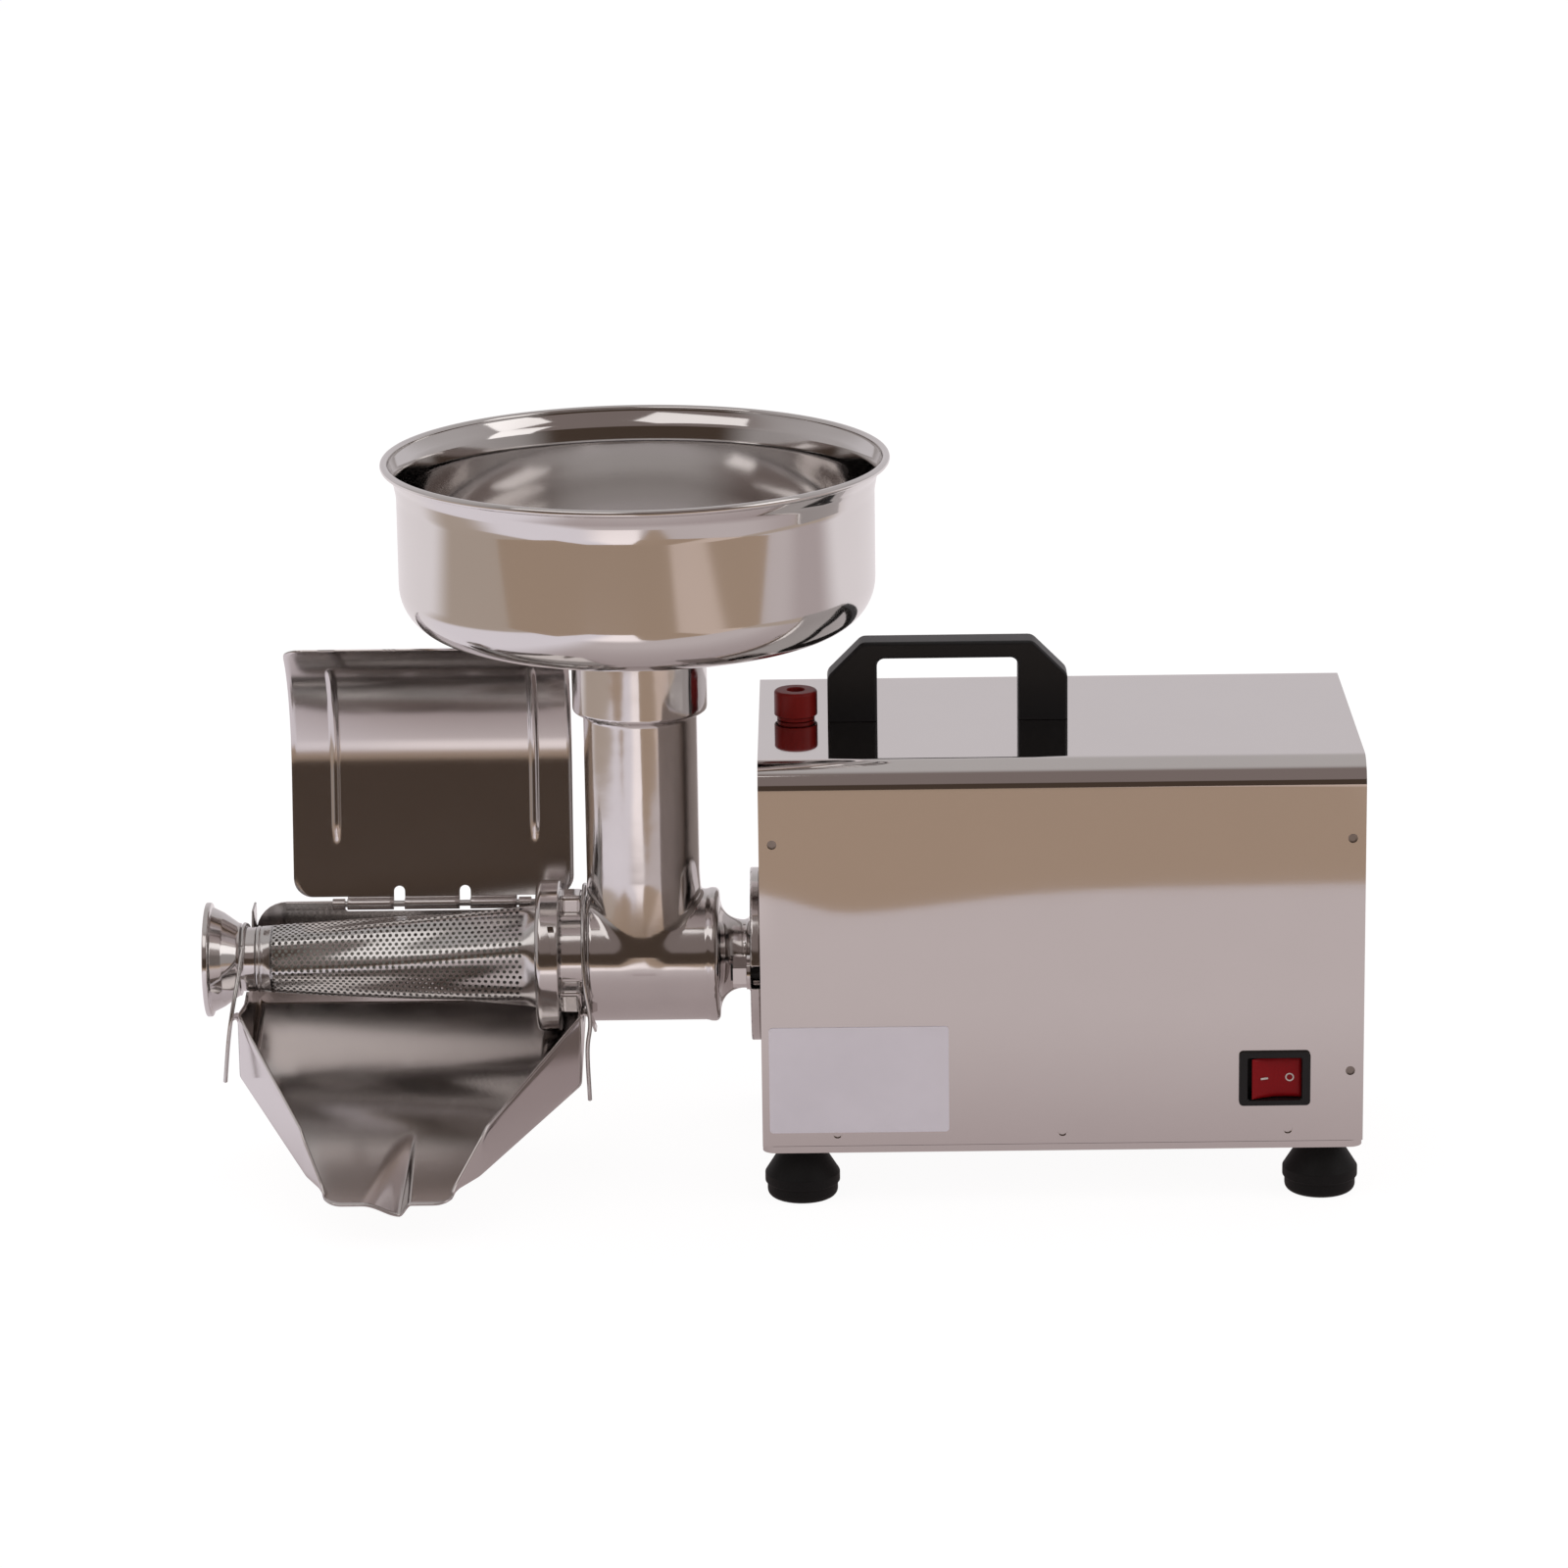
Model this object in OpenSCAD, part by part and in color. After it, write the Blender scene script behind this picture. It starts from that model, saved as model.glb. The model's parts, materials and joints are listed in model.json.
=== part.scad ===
// Electric tomato press: a geared motor in a sheet box turns a screw in a cast head.
// Millimetres, +Z up. The origin is on the table, under the middle of the footprint.

/* [Layout] */
// Height of the press axis above the table
axis_z = 96; // [92:0.5:104]
// Distance of the press axis behind the middle of the footprint
axis_y = 8; // [0:0.5:20]
// Right end of the motor box
box_right_x = 267.5; // [255:0.5:280]

/* [Motor box] */
// Length of the box
box_l = 274.5; // [268:0.5:300]
// Depth of the box, front to back
box_d = 171; // [166:0.5:190]
// Height of the box, feet left out
box_h = 183.5; // [178:0.5:200]
// Outside radius of the two long bends at the top
bend_r = 13; // [9:0.5:18]
// Thickness of the box's sheet
sheet_t = 1; // [0.8:0.1:1.5]
// Height of the tray's hem below the cover
hem_h = 3.2; // [2.5:0.1:5]
// Height of the tray's inner lip
lip_h = 16; // [14:0.5:24]
// Depth of the end panels' folded flange
flange_w = 12; // [8:0.5:18]
// Length of a vent slot
vent_l = 44; // [20:1:60]
// Width of a vent slot
vent_w = 4.5; // [3:0.5:6]
// Number of vent slots
vent_count = 7; // [3:1:9]
// Pitch of the vent slots
vent_pitch = 11; // [9:0.5:14]
// Thread diameter of the case screws
case_screw_d = 4; // [3:0.5:5]

/* [Feet] */
// Height of a foot
foot_h = 26; // [20:0.5:32]
// Widest diameter of a foot
foot_d = 34.5; // [28:0.5:36]
// Diameter of a foot under the tray
foot_top_d = 22; // [18:0.5:26]
// Distance of a foot's centre in from the box's sides
foot_inset = 18; // [17.5:0.5:30]
// Thread diameter of a foot's screw
foot_screw_d = 5; // [4:0.5:6]

/* [Handle] */
// Width of the handle
handle_w = 111; // [90:1:130]
// Height of the handle above the box
handle_h = 37.5; // [30:0.5:48]
// Thickness of the handle, front to back
handle_depth = 16; // [12:0.5:24]
// Width of a handle post
handle_post_w = 23; // [16:0.5:30]
// Thickness of the grip bar
handle_bar_t = 8; // [6:0.5:14]
// Size of the handle's cut corners
handle_chamfer = 16; // [8:0.5:20]
// Centre of the handle from the box's left end
handle_from_left = 87.5; // [80:0.5:130]
// Thread diameter of a handle screw
handle_screw_d = 5; // [4:0.5:6]

/* [Switch] */
// Centre of the switch from the box's right end
switch_from_right = 40.5; // [32:0.5:60]
// Centre of the switch above the box's bottom
switch_up = 33.6; // [32:0.2:50]
// Width of the switch's bezel
bezel_w = 32.5; // [30:0.5:36]
// Height of the switch's bezel
bezel_h = 25.5; // [24:0.5:30]
// Width of the rocker
rocker_w = 23.6; // [20:0.2:25]
// Height of the rocker
rocker_h = 19; // [16:0.2:20]
// Angle of the rocker to each side
rocker_tilt = 9; // [5:0.5:12]
// Depth of the switch behind the box's skin
switch_depth = 24; // [20:0.5:30]

/* [Reset button] */
// Centre of the reset button from the box's left end
reset_from_left = 17.3; // [15:0.1:24]
// Diameter of the reset button's cap
cap_d = 20; // [18:0.5:24]
// Height of the reset button's cap
cap_h = 11.5; // [9:0.5:14]
// Travel of the reset button
reset_travel = 1.8; // [1:0.1:2.2]
// Diameter of the breaker's nut on top of the box
reset_nut_d = 17.5; // [15:0.5:18]

/* [Label] */
// Width of the blank label plate
label_w = 82; // [60:0.5:90]
// Height of the blank label plate
label_h = 50.3; // [40:0.1:60]

/* [Drive] */
// Centre distance of both gear stages
gear_a = 46; // [45:0.5:47]
// Teeth of the motor pinion
rotor_teeth = 12; // [12:1:14]
// Teeth of the idler's wheel
wheel_teeth = 54; // [50:1:56]
// Teeth of the idler's pinion
idler_teeth = 15; // [14:1:17]
// Teeth of the output gear
output_teeth = 42; // [40:1:44]
// Width of the idler's wheel and of the motor pinion's mesh
wheel_w = 10; // [8:0.5:12]
// Width of the output gear
output_gear_w = 13; // [10:0.5:15]
// Wall of the gearbox
gearbox_wall = 5; // [4:0.5:6]
// Stator's diameter to the box's depth
stator_share = 0.556; // [0.54:0.002:0.6]
// Length of the stator's iron
stator_l = 54; // [50:1:84]
// Rotor's diameter to the stator's
rotor_share = 0.545; // [0.52:0.005:0.57]
// Diameter of the motor's shaft
motor_shaft_d = 15; // [14:0.5:15.5]
// Diameter of the output shaft
output_shaft_d = 20; // [19:0.5:21]
// Square drive between the output shaft and the screw
drive_square = 11; // [10:0.25:12]

/* [Press head] */
// Outside diameter of the barrel
barrel_d = 61.4; // [60:0.2:64]
// Bore of the barrel and of its mouth
barrel_bore = 43; // [40:0.5:43.5]
// Length of the barrel
barrel_l = 61.3; // [58:0.1:70]
// Diameter of the neck between the barrel and the flange
neck_d = 31.4; // [30.5:0.1:34]
// Length of the neck
neck_l = 15.25; // [14:0.25:22]
// Diameter of the head's flange
flange_d = 81; // [78:0.5:88]
// Thickness of the head's flange
flange_t = 5; // [4:0.25:7]
// Distance between the two studs
stud_pitch = 60; // [57:0.5:64]
// Thread diameter of the studs
stud_d = 8; // [6:0.5:8]
// Diameter of the necked part behind the locking ring
mouth_neck_d = 48; // [47:0.5:52]
// Length of the necked part behind the locking ring
mouth_neck_l = 12.3; // [11.5:0.1:15]
// Outside diameter of the feed throat
throat_d = 53; // [50:0.5:55]
// Bore of the feed throat
throat_bore = 47; // [42:0.5:48]
// Centre of the feed throat from the barrel's right shoulder
throat_from_shoulder = 34.6; // [32:0.1:36]
// Outside diameter of the throat's socket
socket_d = 62.6; // [60:0.2:66]
// Height of the throat's socket
socket_h = 30; // [20:0.5:36]
// Top of the throat's socket above the press axis
socket_top = 149; // [140:0.5:160]
// Clearance of a turning shaft in its bearing or bush
run_fit = 0.05; // [0.02:0.01:0.1]
// Gap between faces that move past each other
gap = 0.3; // [0.3:0.05:0.5]

/* [Strainer] */
// Outside diameter of the strainer at the locking ring
cone_d = 49; // [46:0.2:50]
// Outside diameter of the strainer at the nozzle
cone_tip_d = 31; // [30:0.2:34]
// Length of the strainer in sight
cone_l = 127.4; // [110:0.1:140]
// Number of flutes
flute_count = 6; // [5:1:10]
// Depth of a flute at the locking ring
flute_depth = 2.2; // [1:0.1:3.6]
// Turn of the flutes over the strainer
flute_twist = 45; // [0:1:60]
// Thickness of the strainer's sheet
cone_t = 1; // [0.8:0.1:1.2]
// Outside diameter of the locking ring
ring_d = 71; // [70.6:0.1:76]
// Width of the locking ring
ring_w = 11; // [10.5:0.1:14]
// Turn of the locking ring from tight to free
ring_turn = 30; // [20:1:35]
// Diameter of the nozzle's rim
nozzle_d = 53.6; // [48:0.2:60]
// Length of the nozzle
nozzle_l = 23.65; // [22:0.05:30]
// Bore of the nozzle at the strainer
nozzle_bore = 24; // [22:0.5:25]
// Outside diameter of the screw's flights in the barrel
screw_d = 42; // [38:0.5:42]
// Core diameter of the screw
screw_core_d = 22; // [20:0.5:26]
// Turns of the screw's flight in the barrel
screw_turns = 2; // [1:0.25:3]

/* [Hopper] */
// Diameter of the hopper's rolled rim
hopper_d = 234; // [210:1:250]
// Outside diameter of the hopper's wall
hopper_wall_d = 219.6; // [200:0.2:222]
// Height of the hopper's rim above the press axis
hopper_top = 239; // [225:0.5:250]
// Height of the hopper's wall and bottom, rim included
hopper_h = 79.5; // [65:0.5:82]
// Radius of the hopper's bottom corner
hopper_corner_r = 23; // [15:0.5:35]
// Thickness of the hopper's sheet
hopper_t = 1; // [0.8:0.1:1.5]

/* [Chute and cover] */
// Reach of the chute's lip in front of the press axis
chute_reach = 133; // [120:0.5:145]
// Height of the chute's lip above the table
chute_lip_z = 20; // [16:0.5:26]
// Rise of the chute's floor, in degrees
chute_slope = 14; // [10:0.5:15]
// Width of the chute's lip
chute_lip_w = 54; // [48:0.5:70]
// Distance of the chute's back behind the press axis
chute_back = 38; // [36.5:0.5:42]
// Top of the chute's back above the press axis
chute_back_top = 16.5; // [12:0.5:22]
// Thickness of the chute's and the cover's sheet
chute_t = 1; // [0.8:0.1:1.5]
// Height of the splash cover above its hinge
cover_h = 123; // [110:0.5:130]
// Width of the splash cover
cover_w = 133; // [120:0.5:134]
// Diameter of the wire of the clips
wire_d = 2; // [1.8:0.1:2.4]

/* [Hidden] */
$fn = 96;

// Overrun of a cut past the face it opens
cut = 1;
// Gap between pieces that are fixed together
seam = 0.15;
steel = [0.80, 0.79, 0.78];
dark_steel = [0.42, 0.42, 0.43];
black = [0.06, 0.06, 0.06];
red = [0.62, 0.10, 0.12];

// Box
box_x1 = box_right_x;
box_x0 = box_x1 - box_l;
box_y0 = axis_y - box_d / 2;
box_y1 = axis_y + box_d / 2;
box_z0 = foot_h;
box_z1 = box_z0 + box_h;
cover_z0 = box_z0 + hem_h + seam;
tray_corner_r = 6;
inner_step = sheet_t + seam;
case_screw_up = 9;
case_screw_l = 8;
screw_head_h = 2.4;
head_share = 1.9;
foot_xs = [box_x0 + foot_inset, box_x1 - foot_inset];
foot_ys = [box_y0 + foot_inset, box_y1 - foot_inset];
tray_screw_xs = [box_x0 + box_l / 8, box_x0 + box_l / 2, box_x1 - box_l / 8];
panel_screw_xs = [box_x0 + flange_w / 2, box_x1 - flange_w / 2];
panel_screw_zs = [box_z0 + box_h * 0.2, box_z0 + box_h * 0.8];

// Foot
foot_edge_z = 12;
foot_side_z = 7;
foot_step = 1;
foot_tip_d = foot_d - 2 * foot_step;
foot_screw_out = 5;
foot_pocket_d = foot_screw_d * 2.4;
foot_web_t = 5;

// Handle, switch, reset button and label
handle_x = box_x0 + handle_from_left;
handle_post_x = handle_w / 2 - handle_post_w / 2;
handle_screw_depth = 14;
switch_x = box_x1 - switch_from_right;
switch_z = box_z0 + switch_up;
bezel_t = 2.2;
bezel_r = 2;
switch_wall = 1.7;
switch_body_w = rocker_w + 2 * switch_wall;
switch_body_h = rocker_h + 2 * switch_wall;
rocker_fit = 0.35;
rocker_deep = 9;
rocker_pin_r = 1.6;
rocker_pin_deep = 5;
rocker_pin_stub = 1;
rocker_stand = 1.6;
rocker_rise = 2.8;
reset_x = box_x0 + reset_from_left;
reset_nut_h = 2.4;
reset_neck_d = 11;
reset_body_h = 15;
reset_body_w = 15;
reset_well_d = 7;
reset_well_deep = 12;
reset_stem_d = 3.4;
reset_lift = reset_travel + gap;
reset_recess_d = 8;
reset_recess_deep = 1.2;
spring_wire_d = 0.6;
spring_turns = 5;
spring_sides = 6;
spring_steps = 12;
label_t = 0.4;
label_from_left = 3.4;
label_up = 9.8;
gland_x = box_x1 - 42;
gland_z = box_z0 + 36;
gland_bore = 8.2;
gland_d = 13;
gland_head_d = 20;
gland_head_t = 3;
gland_nose_l = 12;
gland_inside_l = 7;

// Gear train. The idler lies up and back from the press axis.
idler_angle = 45;
idler_y = axis_y + gear_a * sin(idler_angle);
idler_z = axis_z + gear_a * cos(idler_angle);
wheel_r = gear_a * wheel_teeth / (wheel_teeth + rotor_teeth);
rotor_pinion_r = gear_a * rotor_teeth / (wheel_teeth + rotor_teeth);
output_r = gear_a * output_teeth / (output_teeth + idler_teeth);
idler_pinion_r = gear_a * idler_teeth / (output_teeth + idler_teeth);
wheel_module = 2 * wheel_r / wheel_teeth;
output_module = 2 * output_r / output_teeth;
addendum_share = 0.75;
dedendum_share = 1.05;
thickness_share = 0.84;
tip_share = 0.44;
root_share = 1.28;
gear_play = 1;
gearbox_x0 = box_x0 + inner_step;
front_wall_x1 = gearbox_x0 + gearbox_wall;
bearing_d = output_shaft_d * 1.6;
bearing_w = 7;
bearing_gap = 1;
nose_wall = 4;
nose_l = 9;
nose_d = 29;
seal_w = 4;
seal_ring_t = 2.2;
seal_d = output_shaft_d + 2 * seal_ring_t;
nose_x0 = gearbox_x0 - nose_l;
bearing_x0 = gearbox_x0;
boss_x1 = bearing_x0 + 2 * bearing_w + bearing_gap;
output_gear_x0 = boss_x1 + gear_play;
output_gear_x1 = output_gear_x0 + output_gear_w;
wheel_x0 = output_gear_x1 + 2 * gear_play;
wheel_x1 = wheel_x0 + wheel_w;
gearbox_x1 = wheel_x1 + gear_play;
gearbox_cover_t = 7;
gearbox_cover_x1 = gearbox_x1 + gearbox_cover_t;
output_chamber_r = output_r + output_module + gear_play;
idler_chamber_r = wheel_r + wheel_module + gear_play;
idler_shaft_d = 12;
idler_bush_l = 4;
idler_sink = 1;
gearbox_thread_l = 14;
gearbox_screw_in = 10;
gearbox_screw_d = 4;
gearbox_screw_angles = [150, 215, 270, 325, 30, 75];
output_shaft_x0 = nose_x0 + gap;
output_shaft_x1 = output_gear_x1;

// Motor
bell_t = 4;
bell_hole_fit = 2;
winding_l = 13;
winding_in = 3;
winding_fit = 1;
motor_bearing_d = motor_shaft_d * 7 / 3;
motor_bearing_w = 11;
bearing_wall = 4;
motor_x0 = gearbox_cover_x1 + seam;
front_bearing_x0 = motor_x0 + bell_t;
winding_gap = 4;
stator_x0 = motor_x0 + bell_t + motor_bearing_w + winding_l + winding_gap;
stator_x1 = stator_x0 + stator_l;
air_gap = 0.6;
stator_d = box_d * stator_share;
rotor_d = stator_d * rotor_share;
stator_bore = rotor_d + 2 * air_gap;
winding_t = (stator_d - stator_bore) / 2 - bell_t - winding_in - winding_fit;
rear_bell_x1 = stator_x1 + winding_l + 2 * winding_gap + bell_t;
rear_bearing_x0 = rear_bell_x1 - bell_t;
fan_gap = 3;
fan_x0 = rear_bearing_x0 + motor_bearing_w + bearing_wall + fan_gap;
rotor_short = 1;
fan_w = 14;
fan_inset = 6;
fan_d = stator_d - 2 * fan_inset;
fan_hub_d = 30;
fan_blades = 8;
fan_blade_t = 2;
motor_bolt_d = 5;
motor_bolt_gap = 1;
motor_bolt_r = stator_d / 2 + motor_bolt_d / 2 + motor_bolt_gap;
motor_bolt_angles = [45, 135, 225, 315];
motor_bolt_head = 4;
cradle_w = stator_d / 2;
cradle_l = 36;
cradle_x0 = stator_x0 + (stator_l - cradle_l) / 2;
cradle_foot_w = 16;
cradle_foot_t = 4;
bracket_screw_d = 5;
bracket_screw_out = 3;
capacitor_d = 34;
capacitor_l = 78;
capacitor_inset = 4;
capacitor_x0 = stator_x0;
capacitor_y = box_y0 + capacitor_d / 2 + capacitor_inset;
clamp_t = 1.6;
clamp_w = 14;
clamp_foot = 8;
capacitor_z = box_z0 + sheet_t + clamp_t + seam + capacitor_d / 2;
terminal_l = 46;
terminal_w = 18;
terminal_h = 15;
terminal_count = 4;

// Head
head_flange_x1 = box_x0 - seam;
head_flange_x0 = head_flange_x1 - flange_t;
shoulder_x = head_flange_x0 - neck_l;
barrel_x0 = shoulder_x - barrel_l;
mouth_x = barrel_x0 - mouth_neck_l;
throat_x = shoulder_x - throat_from_shoulder;
shoulder_bead_r = 0.7;
barrel_edge_r = 2;
barrel_end_wall = 6;
neck_land = 2.5;
neck_fillet_r = neck_l - neck_land;
boss_fillet_r = 3;
neck_bore = 24;
slot_fit = 1.2;
slot_w = stud_d + 2 * slot_fit;
lug_count = 3;
lug_d = 62;
lug_l = 10.4;
lug_w = 14;
lug_reach = norm([lug_d / 2, lug_w / 2]);
stud_l = 14.2;
stud_bite = 6;
stud_thread_in = gearbox_wall + stud_bite;
stud_boss_d = 18;
stud_boss_cap = 3;
washer_d = 16;
washer_t = 1.6;
nut_af = 13;
nut_h = 6.2;

// Locking ring, strainer and nozzle
ring_x1 = mouth_x - gap;
ring_x0 = ring_x1 - ring_w;
ring_lip_t = 2;
ring_edge_r = 1.4;
strainer_flange_t = 1.2;
gasket_t = 1.2;
gasket_in = 0.5;
pin_r = 1.9;
pin_count = 3;
pin_deep = 2;
pin_edge = 2;
ring_pin_x = ring_x1 - pin_r - pin_edge;
ring_rim_t = 4.2;
collar_r = ring_d / 2 - ring_rim_t;
collar_fit = 0.35;
notch_angle = -25;
strainer_flange_x0 = ring_x0 + ring_lip_t + gap;
strainer_flange_x1 = strainer_flange_x0 + strainer_flange_t;
collar_x0 = strainer_flange_x1 + gasket_t + 2 * seam;
ring_hole_fit = 1;
ring_hole_d = cone_d + 2 * ring_hole_fit;
cone_x1 = ring_x0 - gap;
cone_x0 = cone_x1 - cone_l;
end_ring_w = 3.7;
end_ring_d = cone_tip_d;
end_ring_bore = 25;
flute_points = 6;
cone_slices = 14;
nozzle_x1 = cone_x0 - end_ring_w - seam;
nozzle_x0 = nozzle_x1 - nozzle_l;
groove_d = 30;
groove_w = 7.15;
wall_in_groove = 2.9;
nozzle_small_d = 34;
nozzle_big_d = 44.5;
nozzle_flare_l = 8.5;
rim_t = 3;
nozzle_wall = 1.6;
spigot_l = 3.4;
nozzle_step = 1;

// Screw
screw_shoulder_x = shoulder_x - barrel_end_wall - gap;
journal_d = 16;
flight_t = 4;
flight_inset = 2;
flight_x0 = mouth_x + flight_inset;
press_x1 = flight_x0;
press_short = 8;
press_x0 = cone_x0 + press_short;
press_core_d = 22;
press_core_tip_d = 14;
press_d = 36;
press_tip_d = 21.5;
press_turns = 2.5;
press_flights = 2;
tip_over = 6;
tip_x0 = nozzle_x1 - tip_over;
tip_d = 12;
square_from = 11.5;
square_l = 16;
square_x0 = shoulder_x + square_from;
square_x1 = square_x0 + square_l;
square_fit = 0.15;

// Hopper
rim_bead_r = 1.7;
hopper_rim_z = axis_z + hopper_top;
hopper_bottom_z = hopper_rim_z - hopper_h;
hopper_flare_h = 17;
hopper_dish = 6;
socket_wall = 2.8;
socket_edge_r = 1.2;
hopper_spigot_d = socket_d - 2 * socket_wall - 2 * gap;
spigot_short = 8;
hopper_corner_turn = 86;
hopper_spigot_l = socket_h - spigot_short;
socket_step_z = axis_z + socket_top - hopper_spigot_l - gap;

// Chute
wall_left_x = nozzle_x1 - groove_w + wall_in_groove;
chute_flare = 3;
chute_from_barrel = 2.4;
wall_right_x = barrel_x0 - chute_from_barrel;
chute_x0 = wall_left_x;
chute_x1 = wall_right_x;
chute_mid_x = chute_x0 + (chute_x1 - chute_x0) * 0.45;
chute_lip_y = axis_y - chute_reach;
chute_back_y = axis_y + chute_back;
chute_back_z = axis_z + chute_back_top;
chute_turn = 30;
chute_turn_y = axis_y - chute_turn;
chute_wall_h = 32;
chute_break_share = 0.75;
chute_break_h = 17;
chute_corner_r = 15;
chute_fit = 0.4;
trough_w = 34;
trough_deep = 7;
window_from_share = 0.275;
window_to_share = 0.8;
window_x0 = chute_x0 + (chute_x1 - chute_x0) * window_from_share;
window_x1 = chute_x0 + (chute_x1 - chute_x0) * window_to_share;
knuckle_l = 6;
window_h = 5;
rod_d = 3;
hinge_y = chute_back_y + chute_t / 2;
hinge_z = chute_back_z - rod_d / 2;
ear_w = 9;

// Splash cover: a straight leg, then a bow that turns forward
cover_over = 4.6;
cover_x1 = barrel_x0 - mouth_neck_l + cover_over;
cover_x0 = cover_x1 - cover_w;
cover_lean = 10.5;
cover_leg = 60;
cover_bow_r = 61;
cover_bow = 62;
cover_corner_r = 9;
cover_gap_z = 2.7;
cover_slot_h = 7.7;
curl_fit = 0.3;
curl_r = rod_d / 2 + curl_fit;
tab_w = 22;
tab_gap = 1;
tongue_w = 26;

// Wire clips
clip_pivot_y = axis_y + lug_reach + wire_d * 1.6;
clip_drop = 6;
clip_pivot_z = axis_z - clip_drop;
clip_fit = 0.1;
clip_sides = 8;
clip_steps = 16;

function arc_points(u, v, r, from, to, steps = 6) =
    [for (i = [0:steps]) let (a = from + (to - from) * i / steps) [u + r * cos(a), v + r * sin(a)]];

// Extrude a (Y, Z) outline along +X, or an (X, Z) outline along +Y
module along_x(x, length) translate([x, 0, 0]) rotate([90, 0, 90]) linear_extrude(length) children();
module along_y(y, length) translate([0, y + length, 0]) rotate([90, 0, 0]) linear_extrude(length) children();
// Put a shape along local Z on the press axis, with local -X up
module on_axis(x) translate([x, axis_y, axis_z]) rotate([0, 90, 0]) children();
module rod_x(x, y, z, d, length) translate([x, y, z]) rotate([0, 90, 0]) cylinder(h = length, d = d);
module rod_y(x, y, z, d, length) translate([x, y + length, z]) rotate([90, 0, 0]) cylinder(h = length, d = d);
module rod_z(x, y, z, d, length) translate([x, y, z]) cylinder(h = length, d = d);

module rounded_rect(w, h, r) {
    translate([-w / 2 + r, -h / 2]) square([w - 2 * r, h]);
    translate([-w / 2, -h / 2 + r]) square([w, h - 2 * r]);
    for (u = [-1, 1], v = [-1, 1]) translate([u * (w / 2 - r), v * (h / 2 - r)]) circle(r);
}

// Screw along +Z with a pan head below its seat at z = 0
module pan_screw(d, length) {
    translate([0, 0, -screw_head_h]) cylinder(h = screw_head_h, d = d * head_share);
    cylinder(h = length, d = d);
}

// A tube through a list of points, as one closed surface
function unit_of(v) = v / norm(v);
function tangent(p, i) = unit_of(p[min(i + 1, len(p) - 1)] - p[max(i - 1, 0)]);
module swept_tube(points, d, sides, side_dir) {
    n = len(points);
    rings = [for (i = [0:n - 1]) let (t = tangent(points, i), a = unit_of(side_dir - (side_dir * t) * t),
        b = cross(t, a)) for (k = [0:sides - 1])
        points[i] + d / 2 * (cos(360 * k / sides) * a + sin(360 * k / sides) * b)];
    sides_faces = [for (i = [0:n - 2], k = [0:sides - 1]) let (a = i * sides + k, b = i * sides + (k + 1) % sides)
        each [[a, b + sides, b], [a, a + sides, b + sides]]];
    caps = concat([for (k = [1:sides - 2]) [0, k, k + 1]],
        [for (k = [1:sides - 2]) let (o = (n - 1) * sides) [o, o + k + 1, o + k]]);
    polyhedron(points = rings, faces = concat(sides_faces, caps));
}

// Outline of the box in (Y, Z), drawn in by d, from z up
module box_shape(d, z) {
    translate([box_y0 + d, z]) square([box_d - 2 * d, box_z1 - bend_r - z]);
    translate([box_y0 + bend_r, z]) square([box_d - 2 * bend_r, box_z1 - d - z]);
    for (y = [box_y0 + bend_r, box_y1 - bend_r]) translate([y, box_z1 - bend_r]) circle(bend_r - d);
}

module foot_screw_places() for (x = foot_xs, y = foot_ys) translate([x, y, 0]) children();
module bracket_screw_places() {
    for (x = [cradle_x0 + cradle_l / 4, cradle_x0 + cradle_l * 3 / 4], s = [-1, 1])
        translate([x, axis_y + s * (cradle_w / 2 + cradle_foot_w / 2), box_z0]) children();
}
module case_screw_places() {
    for (x = tray_screw_xs) translate([x, box_y1, box_z0 + case_screw_up]) rotate([90, 0, 0]) children();
    for (x = panel_screw_xs, z = panel_screw_zs) translate([x, box_y1, z]) rotate([90, 0, 0]) children();
}

module base_tray() {
    lip_in = 2 * sheet_t + seam;
    side_gap = flange_w + 2 * sheet_t;
    color(steel) difference() {
        union() {
            difference() {
                translate([box_x0 + box_l / 2, axis_y, box_z0])
                    linear_extrude(hem_h) rounded_rect(box_l, box_d, tray_corner_r);
                translate([box_x0 + box_l / 2, axis_y, box_z0 + sheet_t])
                    linear_extrude(hem_h) rounded_rect(box_l - 4 * sheet_t, box_d - 4 * sheet_t, tray_corner_r - 2 * sheet_t);
            }
            for (y = [box_y0 + inner_step, box_y1 - inner_step - sheet_t])
                translate([box_x0 + side_gap, y, box_z0]) cube([box_l - 2 * side_gap, sheet_t, lip_h]);
            for (x = [box_x0 + inner_step, box_x1 - inner_step - sheet_t])
                translate([x, box_y0 + side_gap, box_z0]) cube([sheet_t, box_d - 2 * side_gap, lip_h]);
        }
        foot_screw_places() translate([0, 0, box_z0 - cut]) cylinder(h = sheet_t + 2 * cut, d = foot_screw_d + seam);
        bracket_screw_places() translate([0, 0, -cut]) cylinder(h = sheet_t + 2 * cut, d = bracket_screw_d + seam);
        case_screw_places() translate([0, 0, -cut]) cylinder(h = lip_in + sheet_t + 2 * cut, d = case_screw_d + seam);
        for (i = [0:vent_count - 1])
            translate([fan_x0 - vent_l / 2, axis_y + (i - (vent_count - 1) / 2) * vent_pitch - vent_w / 2, box_z0 - cut])
                cube([vent_l, vent_w, sheet_t + 2 * cut]);
    }
}

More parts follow.
